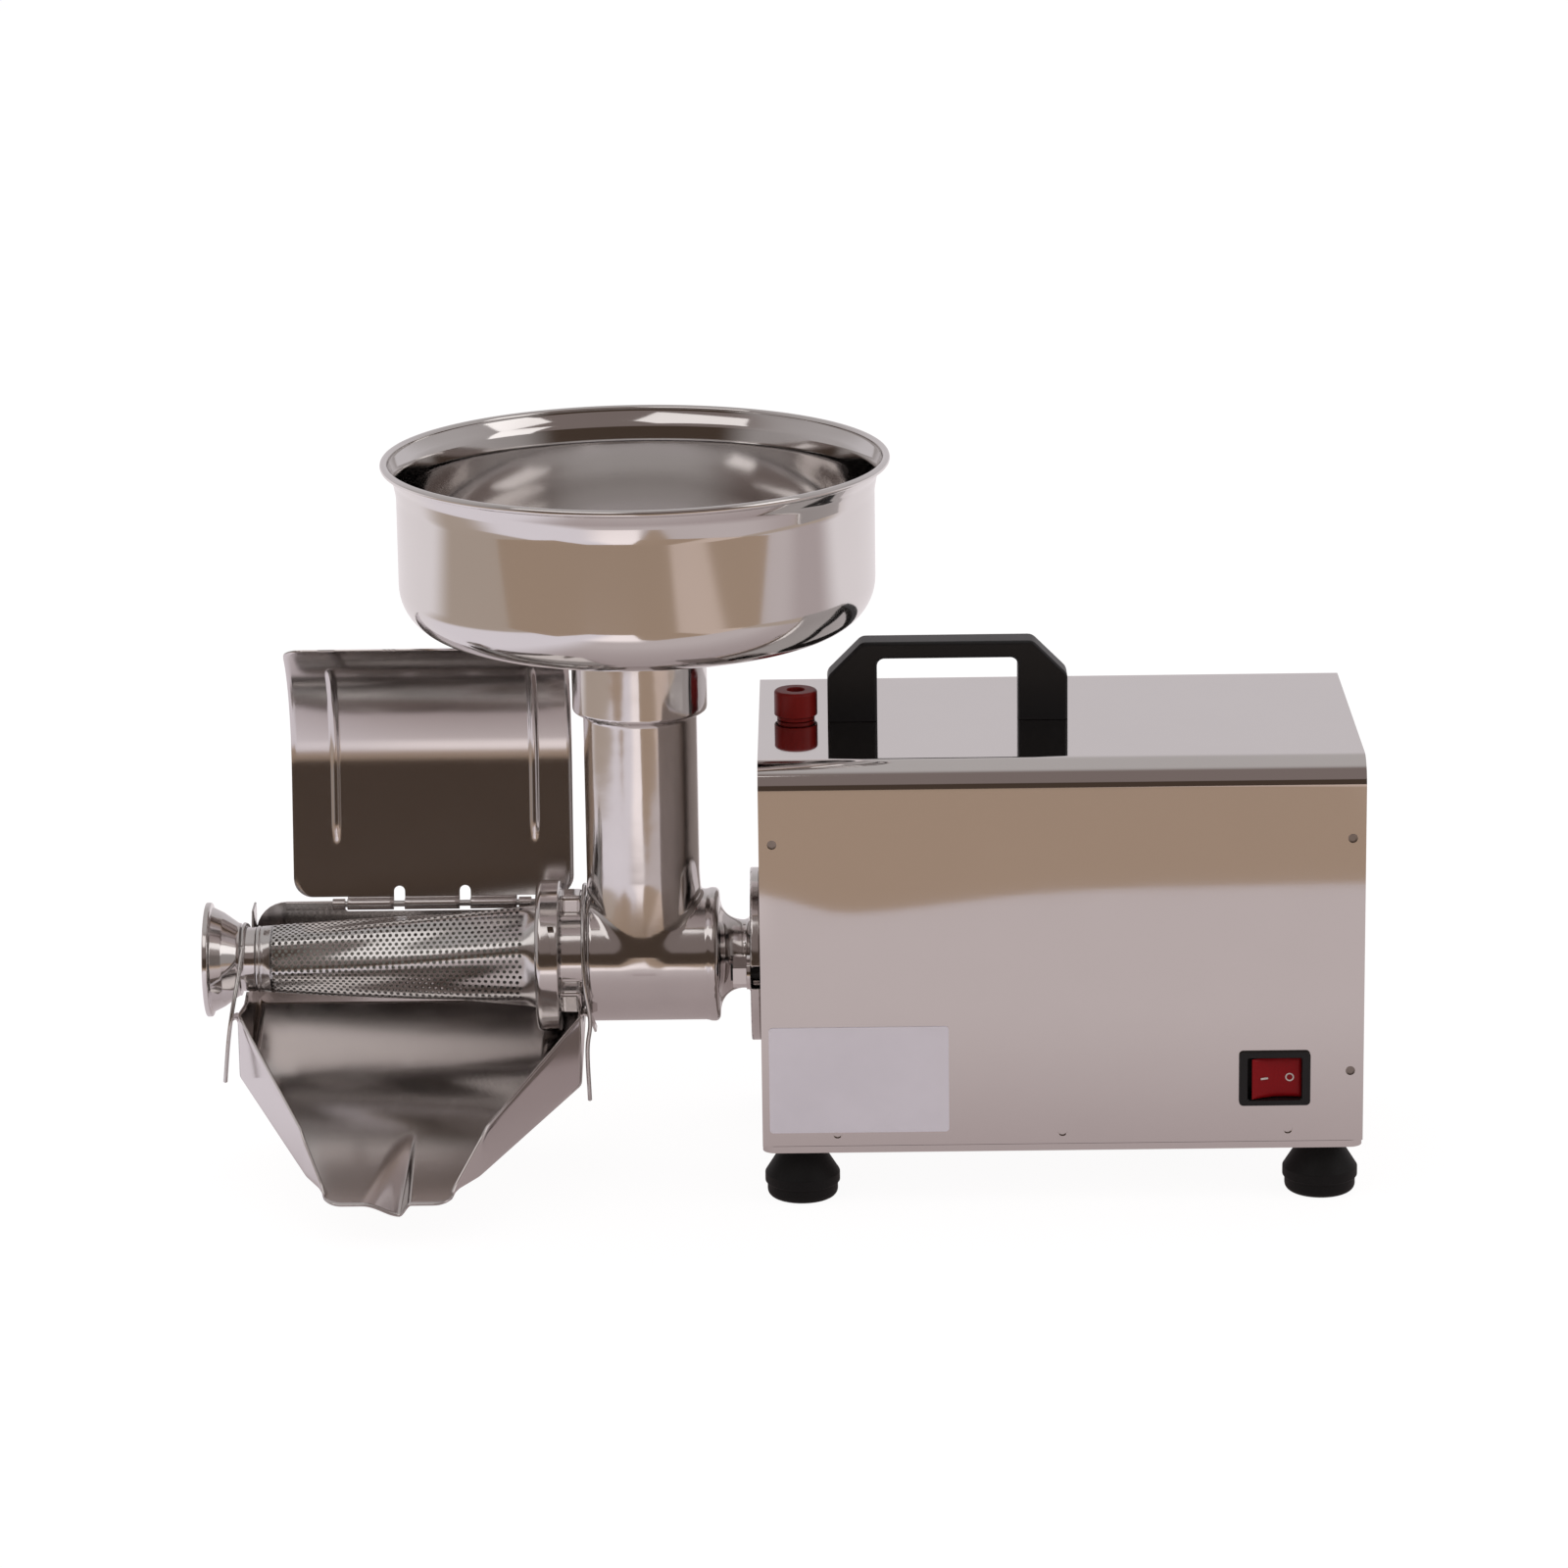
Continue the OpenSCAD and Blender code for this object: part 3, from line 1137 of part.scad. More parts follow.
// Casting: mouth collar, barrel, neck, flange, throat and socket
module grinder_body() {
    barrel_r = barrel_d / 2;
    neck_r = neck_d / 2;
    neck_x1 = head_flange_x0 - shoulder_x;
    $fn = 60;
    color(steel) difference() {
        union() {
            on_axis(collar_x0) cylinder(h = mouth_x - collar_x0 + cut, r = collar_r);
            on_axis(mouth_x) cylinder(h = mouth_neck_l + cut, d = mouth_neck_d);
            for (i = [0:lug_count - 1]) on_axis(mouth_x) rotate([0, 0, 60 + i * 360 / lug_count])
                translate([mouth_neck_d / 2 - cut, -lug_w / 2, 0]) cube([lug_d / 2 - mouth_neck_d / 2 + cut, lug_w, lug_l]);
            on_axis(barrel_x0) rotate_extrude() polygon(concat([[0, 0], [barrel_r - barrel_edge_r, 0]],
                arc_points(barrel_r - barrel_edge_r, barrel_edge_r, barrel_edge_r, -90, 0, 4),
                [[barrel_r, barrel_l - 4 * barrel_edge_r], [barrel_r + shoulder_bead_r, barrel_l - 3 * barrel_edge_r]],
                arc_points(barrel_r + shoulder_bead_r - barrel_edge_r, barrel_l - barrel_edge_r, barrel_edge_r, 0, 90, 4),
                arc_points(neck_r + neck_fillet_r, barrel_l + neck_fillet_r, neck_fillet_r, 270, 180, 8),
                [[neck_r, barrel_l + neck_x1 - boss_fillet_r]],
                arc_points(neck_r + boss_fillet_r, barrel_l + neck_x1 - boss_fillet_r, boss_fillet_r, 180, 90, 4),
                [[neck_r + boss_fillet_r, barrel_l + neck_x1 + cut], [0, barrel_l + neck_x1 + cut]]));
            on_axis(head_flange_x0) cylinder(h = flange_t, d = flange_d);
            for (i = [0:pin_count - 1]) on_axis(ring_pin_x) rotate([0, 0, notch_angle + i * 360 / pin_count])
                rotate([0, 90, 0]) translate([0, 0, collar_r - pin_deep])
                    cylinder(h = pin_deep + ring_d / 2 - collar_r - gap, r = pin_r);
            rod_z(throat_x, axis_y, axis_z, throat_d, socket_top - cut);
            translate([throat_x, axis_y, axis_z + socket_top - socket_h]) rotate_extrude() polygon(concat(
                [[0, -throat_d / 20], [throat_d / 2, -throat_d / 20]],
                arc_points(socket_d / 2 - throat_d / 12, throat_d / 12, throat_d / 12, -60, 0),
                arc_points(socket_d / 2 - socket_edge_r, socket_h - socket_edge_r, socket_edge_r, 0, 90, 4), [[0, socket_h]]));
        }
                on_axis(collar_x0 - cut) cylinder(h = shoulder_x - barrel_end_wall - collar_x0 + cut, d = barrel_bore);
        on_axis(shoulder_x - barrel_end_wall - cut) cylinder(h = neck_l + barrel_end_wall + 2 * cut, d = neck_bore);
        on_axis(nose_x0 - seam) cylinder(h = nose_l + flange_t + cut, d = nose_d + 2 * seam);
        for (s = [-1, 1]) {
            rod_x(head_flange_x0 - cut, axis_y + s * stud_pitch / 2, axis_z, slot_w, flange_t + 2 * cut);
            translate([head_flange_x0 - cut, axis_y + (s > 0 ? stud_pitch / 2 : -flange_d / 2 - cut), axis_z - slot_w / 2])
                cube([flange_t + 2 * cut, flange_d / 2 + cut - stud_pitch / 2, slot_w]);
        }
        rod_z(throat_x, axis_y, axis_z, throat_bore, socket_top + cut);
        rod_z(throat_x, axis_y, socket_step_z, socket_d - 2 * socket_wall, hopper_spigot_l + gap + cut);
    }
}

module screw_bush() {
    color([0.72, 0.55, 0.30]) bearing_ring(shoulder_x - barrel_end_wall + seam, journal_d + 2 * run_fit, neck_bore - 2 * seam,
        nose_x0 - 2 * seam - shoulder_x + barrel_end_wall);
}

// Screw: square drive, journal, straight and tapered flights
module feed_screw() {
    barrel_part = screw_shoulder_x - flight_x0;
    press_l = press_x1 - press_x0;
    color([0.88, 0.87, 0.84]) {
        on_axis(flight_x0) cylinder(h = barrel_part, d = screw_core_d);
        on_axis(flight_x0) linear_extrude(barrel_part, twist = 360 * screw_turns, slices = 36, $fn = 20)
            for (a = [0, 180]) rotate(a) translate([0, -flight_t / 2]) square([screw_d / 2, flight_t]);
        on_axis(screw_shoulder_x - cut) cylinder(h = square_x0 - screw_shoulder_x + cut, d = journal_d);
        on_axis(square_x0 - cut) linear_extrude(square_x1 - square_x0 + cut) square(drive_square, center = true);
        on_axis(press_x0) cylinder(h = press_l + cut, d1 = press_core_tip_d, d2 = press_core_d);
        on_axis(press_x1 + cut) mirror([0, 0, 1]) linear_extrude(press_l + cut, twist = 360 * press_turns, slices = 40, $fn = 20,
            scale = press_tip_d / press_d)
            for (i = [0:press_flights - 1]) rotate(i * 360 / press_flights) translate([0, -flight_t / 2]) square([press_d / 2, flight_t]);
        on_axis(tip_x0) cylinder(h = press_x0 - tip_x0 + cut, d = tip_d);
    }
}

module strainer_gasket() {
    color([0.25, 0.25, 0.25]) bearing_ring(strainer_flange_x1 + seam, ring_hole_d - 2 * gasket_in, 2 * collar_r, gasket_t);
}

function flute_outline(r, depth) = [for (i = [0:flute_count * flute_points - 1])
    let (a = i * 360 / (flute_count * flute_points), v = r - depth * (1 - cos(flute_count * a)) / 2) [v * cos(a), v * sin(a)]];

module fluted_cone(r, tip_r, depth, x0, x1) {
    on_axis(x1) mirror([0, 0, 1]) linear_extrude(x1 - x0, twist = -flute_twist, slices = cone_slices, scale = tip_r / r, $fn = 20)
        polygon(flute_outline(r, depth));
}

module strainer_cone() {
    color([0.74, 0.73, 0.72]) {
        difference() {
            union() {
                fluted_cone(cone_d / 2, cone_tip_d / 2, flute_depth, cone_x0, cone_x1);
                on_axis(cone_x1 - cut) cylinder(h = strainer_flange_x0 - cone_x1 + 2 * cut, d = cone_d);
                on_axis(strainer_flange_x0) cylinder(h = strainer_flange_t, d = 2 * collar_r);
            }
            fluted_cone(cone_d / 2 - cone_t, cone_tip_d / 2 - cone_t, flute_depth, cone_x0 - cut, cone_x1 + seam);
            on_axis(cone_x1 - seam) cylinder(h = strainer_flange_x1 - cone_x1 + 2 * cut, d = cone_d - 2 * flute_depth);
        }
        on_axis(cone_x0 - end_ring_w) difference() {
            cylinder(h = end_ring_w + cone_t, d = end_ring_d);
            translate([0, 0, -cut]) cylinder(h = end_ring_w + cone_t + 2 * cut, d = end_ring_bore);
        }
    }
}

module locking_ring() {
    outer_r = ring_d / 2;
    color(steel) difference() {
        on_axis(ring_x0) rotate_extrude() polygon(concat([[ring_hole_d / 2, ring_edge_r]],
            arc_points(ring_hole_d / 2 + ring_edge_r, ring_edge_r, ring_edge_r, 180, 270, 4),
            arc_points(outer_r - 2 * ring_edge_r, 2 * ring_edge_r, 2 * ring_edge_r, -90, 0, 5),
            [[outer_r, ring_w - ring_edge_r / 2], [outer_r - ring_edge_r / 2, ring_w], [collar_r + collar_fit, ring_w],
            [collar_r + collar_fit, ring_lip_t], [ring_hole_d / 2, ring_lip_t]]));
        for (i = [0:pin_count - 1]) {
            on_axis(ring_pin_x - pin_r - gap) rotate([0, 0, notch_angle + i * 360 / pin_count]) ring_sector(-ring_turn, 0);
            on_axis(ring_pin_x - pin_r - gap) rotate([0, 0, notch_angle + i * 360 / pin_count - ring_turn])
                translate([0, -pin_r - gap, 0]) cube([ring_d, 2 * (pin_r + gap), ring_w]);
        }
    }
}

// The slot that a pin runs in, from one angle to the other
module ring_sector(from, to) {
    half = pin_r + gap;
    reach = ring_d;
    extra = asin(half / collar_r);
    linear_extrude(2 * half) polygon([[0, 0],
        for (a = [from - extra, (from + to) / 2, to + extra]) [reach * cos(a), reach * sin(a)]]);
}

module outlet_nozzle() {
    rim_r = nozzle_d / 2;
    bead = rim_t / 2;
    groove_z = nozzle_l - groove_w;
    color(steel) on_axis(nozzle_x0) rotate_extrude() polygon(concat(
        arc_points(rim_r - bead, bead, bead, -90, 90, 6),
        [[nozzle_big_d / 2, nozzle_flare_l], [nozzle_small_d / 2, groove_z - nozzle_wall], [nozzle_small_d / 2, groove_z],
        [groove_d / 2, groove_z], [groove_d / 2, nozzle_l], [end_ring_bore / 2 - seam, nozzle_l],
        [end_ring_bore / 2 - seam, nozzle_l + spigot_l], [nozzle_bore / 2 - nozzle_step, nozzle_l + spigot_l],
        [nozzle_bore / 2 - nozzle_step, groove_z], [nozzle_small_d / 2 - nozzle_wall, groove_z - nozzle_wall],
        [nozzle_big_d / 2 - nozzle_wall, nozzle_flare_l], [rim_r - 2 * bead - nozzle_wall / 2, rim_t / 3],
        [rim_r - 2 * bead, 0]]));
}

module hopper() {
    wall_r = hopper_wall_d / 2;
    corner = hopper_corner_r;
    spigot_r = hopper_spigot_d / 2;
    color([0.62, 0.60, 0.58]) translate([throat_x, axis_y, 0]) {
        rotate_extrude() polygon(concat(
            [[spigot_r, axis_z + socket_top - hopper_spigot_l], [spigot_r, hopper_bottom_z - hopper_dish]],
            arc_points(wall_r - corner, hopper_bottom_z + corner, corner, -hopper_corner_turn, 0, 8),
            [[wall_r, hopper_rim_z - hopper_flare_h], [wall_r + hopper_t, hopper_rim_z - hopper_flare_h / 2],
            [hopper_d / 2 - 2 * rim_bead_r, hopper_rim_z - 2 * rim_bead_r]],
            arc_points(hopper_d / 2 - rim_bead_r, hopper_rim_z - rim_bead_r, rim_bead_r, -90, 90, 6),
            [[hopper_d / 2 - 2 * rim_bead_r - hopper_t, hopper_rim_z - rim_bead_r],
            [wall_r, hopper_rim_z - hopper_flare_h / 2], [wall_r - hopper_t, hopper_rim_z - hopper_flare_h]],
            arc_points(wall_r - corner, hopper_bottom_z + corner, corner - hopper_t, 0, -hopper_corner_turn, 8),
            [[spigot_r - hopper_t, hopper_bottom_z - hopper_dish + hopper_t],
            [spigot_r - hopper_t, axis_z + socket_top - hopper_spigot_l]]));
    }
}

function chute_floor_z(y) = chute_lip_z + (y - chute_lip_y) * tan(chute_slope);

// Plan outline of the chute, drawn in by d
module chute_plan(d) {
    polygon([[chute_x0 + d, chute_back_y + chute_t - d], [chute_x0 + d, axis_y], [chute_x0 - chute_flare + d, chute_turn_y],
        [chute_mid_x - chute_lip_w / 2 + d, chute_lip_y - (d > 0 ? cut : 0)],
        [chute_mid_x + chute_lip_w / 2 - d, chute_lip_y - (d > 0 ? cut : 0)],
        [chute_x1 - d, chute_turn_y], [chute_x1 - d, chute_back_y + chute_t - d]]);
}

// Side outline of the chute in (Y, Z)
module chute_side() {
    break_y = chute_turn_y - (chute_turn_y - chute_lip_y) * chute_break_share;
    polygon([[chute_lip_y, chute_lip_z - chute_t], [chute_back_y + chute_t, chute_floor_z(chute_back_y) - chute_t],
        [chute_back_y + chute_t, chute_back_z], [chute_back_y - chute_corner_r, chute_back_z],
        [axis_y + groove_d / 2, axis_z], [axis_y - groove_d / 2, chute_floor_z(chute_turn_y) + chute_wall_h],
        [chute_turn_y, chute_floor_z(chute_turn_y) + chute_wall_h], [break_y, chute_floor_z(break_y) + chute_break_h],
        [chute_lip_y, chute_lip_z + chute_t]]);
}

module chute_floor_cut() {
    polygon([[chute_lip_y - cut, chute_lip_z - cut * tan(chute_slope)], [chute_back_y + chute_t + cut, chute_floor_z(chute_back_y + chute_t + cut)],
        [chute_back_y + chute_t + cut, chute_back_z + chute_back], [chute_lip_y - cut, chute_back_z + chute_back]]);
}

module chute() {
    width = chute_x1 - chute_x0;
    color(steel) difference() {
        union() {
            intersection() {
                difference() {
                    linear_extrude(chute_back_z + chute_back) chute_plan(0);
                    intersection() {
                        linear_extrude(chute_back_z + chute_back) chute_plan(chute_t);
                        along_x(chute_x0 - chute_flare, width + chute_flare) chute_floor_cut();
                    }
                }
                along_x(chute_x0 - chute_flare - cut, width + chute_flare + 2 * cut) chute_side();
            }
            // front ears that the wires hook under
            for (x = [chute_x0 - chute_flare, chute_x1 - chute_t])
                translate([x, chute_turn_y, chute_floor_z(chute_turn_y) + chute_wall_h - ear_w]) cube([chute_t, ear_w, ear_w]);
            for (x = [window_x0 - knuckle_l, window_x1]) rod_x(x, hinge_y, hinge_z, rod_d + 2 * chute_t + 2 * seam, knuckle_l);
            // pouring trough under the lip
            chute_trough(0);
        }
        chute_trough(chute_t);
        on_axis(chute_x0 - cut) cylinder(h = 4 * cut, d = groove_d + 2 * chute_fit);
        translate([chute_x0 - cut, axis_y - groove_d / 2 - chute_fit, axis_z]) cube([4 * cut, groove_d + 2 * chute_fit, chute_back_top + cut]);
        on_axis(chute_x1 - 3 * cut) cylinder(h = 4 * cut, r = lug_reach + chute_fit);
        translate([chute_x1 - 3 * cut, axis_y - mouth_neck_d / 2, axis_z]) cube([4 * cut, mouth_neck_d, chute_back_top + cut]);
        rod_x(window_x0 - knuckle_l - cut, hinge_y, hinge_z, rod_d + 2 * seam, window_x1 - window_x0 + 2 * knuckle_l + 2 * cut);
        // window for the cover's hinge
        along_y(chute_back_y - cut, chute_t + 2 * cut) translate([window_x0, chute_back_z - window_h])
            square([window_x1 - window_x0, window_h + cut]);
        for (x = [chute_x0 - cut, chute_x1 - 2 * cut])
            rod_x(x, clip_pivot_y, clip_pivot_z, wire_d + 2 * clip_fit, 3 * cut);
    }
}

// A trough that deepens towards the lip
module chute_trough(d) {
    length = (chute_turn_y - chute_lip_y) * 0.8;
    lift = d > 0 ? cut : 0;
    top = d > 0 ? 2 * d : -chute_t / 2;
    intersection() {
        translate([chute_mid_x, chute_lip_y - lift, chute_lip_z - trough_deep]) rotate([chute_slope + atan(trough_deep / length), 0, 0])
            translate([0, 0, trough_w / 2]) rotate([-90, 0, 0]) cylinder(h = length + lift, d = trough_w - 2 * d);
        along_x(chute_x0, chute_x1 - chute_x0) polygon([[chute_lip_y - lift, chute_lip_z - trough_w],
            [chute_back_y, chute_floor_z(chute_back_y) - trough_w], [chute_back_y, chute_floor_z(chute_back_y) + top],
            [chute_lip_y - lift, chute_lip_z + top]]);
    }
}

module hinge_rod() {
    color(steel) rod_x(window_x0 - knuckle_l, hinge_y, hinge_z, rod_d, window_x1 - window_x0 + 2 * knuckle_l);
}

// Side outline of the splash cover, grown by d, standing on the hinge
module cover_side() {
    foot_y = hinge_y + curl_r;
    leg_y = foot_y + cover_leg * sin(cover_lean);
    leg_z = hinge_z + cover_leg * cos(cover_lean);
    bow_y = leg_y - cover_bow_r * cos(cover_lean);
    bow_z = leg_z + cover_bow_r * sin(cover_lean);
    polygon(concat([[foot_y, hinge_z]], arc_points(bow_y, bow_z, cover_bow_r, -cover_lean, cover_bow, 14),
        arc_points(bow_y, bow_z, cover_bow_r + chute_t, cover_bow, -cover_lean, 14), [[foot_y + chute_t, hinge_z]]));
}

module splash_cover() {
    top_z = hinge_z + cover_h + chute_t;
    main_z = hinge_z + cover_gap_z;
    tabs_x0 = window_x0 + tab_gap;
    tabs_x1 = window_x1 - tab_gap;
    tongue_x0 = (tabs_x0 + tabs_x1 - tongue_w) / 2;
    slot = tongue_x0 - tabs_x0 - tab_w;
    spans = [[tabs_x0, tab_w], [tongue_x0, tongue_w], [tabs_x1 - tab_w, tab_w]];
    color(steel) {
        intersection() {
            along_x(cover_x0, cover_w) cover_side();
            along_y(hinge_y - cover_h, 2 * cover_h) union() {
                difference() {
                    translate([cover_x0 + cover_w / 2, (top_z + main_z) / 2]) rounded_rect(cover_w, top_z - main_z, cover_corner_r);
                    for (x = [tabs_x0 + tab_w, tongue_x0 + tongue_w]) translate([x, hinge_z]) {
                        square([slot, cover_slot_h - slot / 2]);
                        translate([slot / 2, cover_slot_h - slot / 2]) circle(slot / 2);
                    }
                }
                for (span = spans) translate([span[0], hinge_z]) square([span[1], cover_gap_z + cover_corner_r]);
            }
        }
        for (span = spans)
            translate([span[0], hinge_y, hinge_z]) rotate([0, 90, 0]) difference() {
                cylinder(h = span[1], r = curl_r + chute_t);
                translate([0, 0, -cut]) cylinder(h = span[1] + 2 * cut, r = curl_r);
                translate([-3 * curl_r, -3 * curl_r, -cut]) cube([3 * curl_r, 3 * curl_r, span[1] + 2 * cut]);
            }
    }
}

// A wire clip: a pivot through the chute's wall, a bow over the head, then a leg down.
// The leg's points are [x, y, z] from the press axis at wire_x.
module wire_clip(wall_x, wire_x, over_r, stop, legs) {
    dir = wire_x > wall_x ? 1 : -1;
    pivot_r = norm([clip_pivot_y - axis_y, clip_pivot_z - axis_z]);
    start = atan2(clip_pivot_z - axis_z, clip_pivot_y - axis_y);
    bow = [for (i = [0:clip_steps]) let (a = start + (stop - start) * i / clip_steps,
        r = over_r + (pivot_r - over_r) * pow(1 - min(i / clip_steps * 2, 1), 2))
        [wire_x, axis_y + r * cos(a), axis_z + r * sin(a)]];
    swept_tube(concat([[wall_x, clip_pivot_y, clip_pivot_z], [wire_x - dir * wire_d, clip_pivot_y, clip_pivot_z]], bow,
        [for (p = legs) [wire_x + p[0], axis_y + p[1], axis_z + p[2]]]), wire_d, clip_sides, unit_of([1, 0.3, 0.2]));
}

module clip_left() {
    over = groove_d / 2 + wire_d / 2 + gap;
    out = chute_flare + wire_d / 2;
    front = chute_turn_y - axis_y - wire_d;
    color(steel) wire_clip(chute_x0 + 3 * chute_t, chute_x0 - wire_d / 2 - gap, over, 150,
        [[-out / 2, front * 0.8, -over * 0.3], [-out, front, -over], [-out * 1.5, front * 1.05, -over * 1.8], [-out * 2, front * 1.1, -over * 3]]);
}

module clip_right() {
    over = max(barrel_d / 2, lug_reach) + wire_d / 2 + gap;
    color(steel) wire_clip(chute_x1 - 3 * chute_t, chute_x1 + wire_d / 2 + gap, over, 160,
        [[wire_d / 4, -over * 1.04, -over * 0.2], [wire_d / 2, -over * 1.06, -over * 0.9], [0, -over * 1.1, -over * 1.2],
        [0, -over * 1.15, -over * 1.8]]);
}

base_tray();
wrap_cover();
left_panel();
right_panel();
foot_front_left();
foot_front_right();
foot_rear_left();
foot_rear_right();
foot_screws();
case_screws();
carry_handle();
handle_screws();
switch_housing();
switch_rocker();
overload_breaker();
reset_nut();
reset_button();
reset_spring();
label_plate();
cable_gland();
gearbox_housing();
gearbox_cover();
gearbox_screws();
output_gear();
output_shaft();
output_bearings();
shaft_seal();
idler_gear();
front_end_bell();
rear_end_bell();
stator_core();
stator_windings();
rotor_core();
motor_shaft();
motor_bearings();
cooling_fan();
motor_bolts();
motor_bracket();
bracket_screws();
run_capacitor();
capacitor_clamp();
terminal_block();
head_studs();
stud_washers();
stud_nuts();
grinder_body();
screw_bush();
feed_screw();
strainer_gasket();
strainer_cone();
locking_ring();
outlet_nozzle();
hopper();
chute();
hinge_rod();
splash_cover();
clip_left();
clip_right();
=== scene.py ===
import json
from math import atan2, cos, pi, radians, sin, tan
import bpy
import bmesh
import numpy as np
from mathutils import Matrix, Vector


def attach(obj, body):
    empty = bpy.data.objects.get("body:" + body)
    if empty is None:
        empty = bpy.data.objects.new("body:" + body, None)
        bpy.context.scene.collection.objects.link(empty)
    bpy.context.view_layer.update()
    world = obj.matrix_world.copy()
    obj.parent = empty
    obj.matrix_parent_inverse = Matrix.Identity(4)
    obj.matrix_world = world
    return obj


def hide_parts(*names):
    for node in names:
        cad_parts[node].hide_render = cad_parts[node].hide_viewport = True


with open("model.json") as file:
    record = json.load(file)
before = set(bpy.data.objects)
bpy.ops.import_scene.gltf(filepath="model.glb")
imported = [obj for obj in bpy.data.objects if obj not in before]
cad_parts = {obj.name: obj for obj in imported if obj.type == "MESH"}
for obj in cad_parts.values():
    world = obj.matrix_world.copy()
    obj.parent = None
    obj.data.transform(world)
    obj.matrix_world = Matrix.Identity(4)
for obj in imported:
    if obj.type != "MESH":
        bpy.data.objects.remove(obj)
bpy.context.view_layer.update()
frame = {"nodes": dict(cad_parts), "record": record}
nodes = frame["nodes"]
print("frame loaded:", len(nodes), "nodes")

mm = 0.001  # the sizes below are in millimetres

press = {"y": 8.0, "z": 96.0}  # the press axis runs along X at this depth and height
pressAxis = (0, press["y"], press["z"])
# places along the press axis, from the nozzle to the motor box
along = {"nozzle0": -267.5, "nozzle1": -243.85, "cone0": -240.0, "cone1": -112.6, "ring0": -112.3,
         "ring1": -101.3, "mouth": -101.0, "barrel0": -88.7, "shoulder": -27.4, "flange0": -12.15,
         "flange1": -7.15}
caseBox = {"x0": -7.0, "x1": 267.5, "y0": -77.5, "y1": 93.5, "z0": 26.0, "z1": 209.5, "bend": 13.0,
           "hem": 3.35}
throatX = -62.0
throatAxis = (throatX, press["y"], 0)


# a socket of a node tree that can be used in a Python expression
class Port:
    def __init__(self, tree, socket):
        self.tree, self.socket = tree, socket

    def join(self, operation, other=None, swap=False, clamp=False):
        node = self.tree.nodes.new("ShaderNodeMath")
        node.operation, node.use_clamp = operation, clamp
        for i, value in enumerate((other, self) if swap else (self, other)):
            if isinstance(value, Port):
                self.tree.links.new(value.socket, node.inputs[i])
            elif value is not None:
                node.inputs[i].default_value = value
        return Port(self.tree, node.outputs[0])

    def __add__(self, other):
        return self.join("ADD", other)

    def __sub__(self, other):
        return self.join("SUBTRACT", other)

    def __rsub__(self, other):
        return self.join("SUBTRACT", other, swap=True)

    def __mul__(self, other):
        return self.join("MULTIPLY", other)

    __radd__ = __add__
    __rmul__ = __mul__

    def size(self):
        return self.join("ABSOLUTE")

    def clamped(self):
        return self.join("ADD", 0.0, clamp=True)


# a node tree with short ways to add nodes
class Recipe:
    def __init__(self, tree):
        self.tree = tree
        tree.nodes.clear()

    def add(self, kind, settings=None, inputs=None, output=0):
        node = self.tree.nodes.new("ShaderNode" + kind)
        for key, value in (settings or {}).items():
            setattr(node, key, value)
        for key, value in (inputs or {}).items():
            socket = node.inputs[key]
            if isinstance(value, Port):
                self.tree.links.new(value.socket, socket)
            elif socket.type == "RGBA":
                socket.default_value = (*value, 1.0)
            else:
                socket.default_value = value
        return Port(self.tree, node.outputs[output]) if node.outputs else None

    def mixColour(self, factor, a, b):
        return self.add("Mix", {"data_type": "RGBA"}, {0: factor, 6: a, 7: b}, output=2)

    # a smooth step from 0 at low to 1 at high
    def step(self, value, low, high):
        return self.add("MapRange", {"interpolation_type": "SMOOTHSTEP"},
                        {"Value": value, "From Min": low, "From Max": high, "To Min": 0.0, "To Max": 1.0})

    def noise(self, scale, detail=2.0, roughness=0.5, vector=None):
        return self.add("TexNoise", {}, {"Scale": scale, "Detail": detail, "Roughness": roughness,
                                         "Vector": vector or self.place()})

    def place(self, scale=(1.0, 1.0, 1.0)):
        where = self.add("TexCoord", output="Object")
        return self.add("Mapping", {}, {"Vector": where, "Scale": scale})

    # the X, Y and Z of a vector
    def split(self, vector):
        first = self.add("SeparateXYZ", {}, {"Vector": vector})
        return [Port(self.tree, socket) for socket in first.socket.node.outputs]

    def bump(self, height, strength, distance):
        return self.add("Bump", {}, {"Height": height, "Strength": strength, "Distance": distance})

    def surface(self, values):
        self.add("OutputMaterial", {}, {"Surface": self.add("BsdfPrincipled", {}, values)})


def newMaterial(name):
    material = bpy.data.materials.new(name)
    material.use_nodes = True
    return material, Recipe(material.node_tree)


def darker(colour, share):
    return tuple(c * share for c in colour)


# mirror steel: a slow wave in the sheet, faint polishing lines and faint smudges in the gloss
def steelFinish(name, colour=(0.80, 0.77, 0.76), rough=0.055, wave=0.35, waveScale=6.0, smudge=0.03):
    material, r = newMaterial(name)
    slow = r.noise(waveScale, 1.0)
    lines = r.noise(60.0, 3.0, vector=r.place(scale=(1.0, 14.0, 14.0)))
    smear = r.noise(28.0, 4.0, 0.6)
    tint = r.mixColour((smear * 0.5).clamped(), colour, darker(colour, 0.93))
    r.surface({"Base Color": tint, "Metallic": 1.0, "Roughness": rough + smear * smudge + lines * 0.015,
               "Normal": r.bump(slow * 0.9 + lines * 0.0015, wave, 0.001)})
    return material


# polished casting: soft hand-polished hollows and a fine grain
def castFinish(name, colour=(0.78, 0.755, 0.745), rough=0.09, wave=0.22):
    material, r = newMaterial(name)
    hollow = r.noise(38.0, 2.0)
    grain = r.noise(900.0, 3.0)
    smear = r.noise(55.0, 4.0, 0.6)
    r.surface({"Base Color": r.mixColour(smear, colour, darker(colour, 0.9)), "Metallic": 1.0,
               "Roughness": rough + smear * 0.05, "Normal": r.bump(hollow + grain * 0.02, wave, 0.001)})
    return material


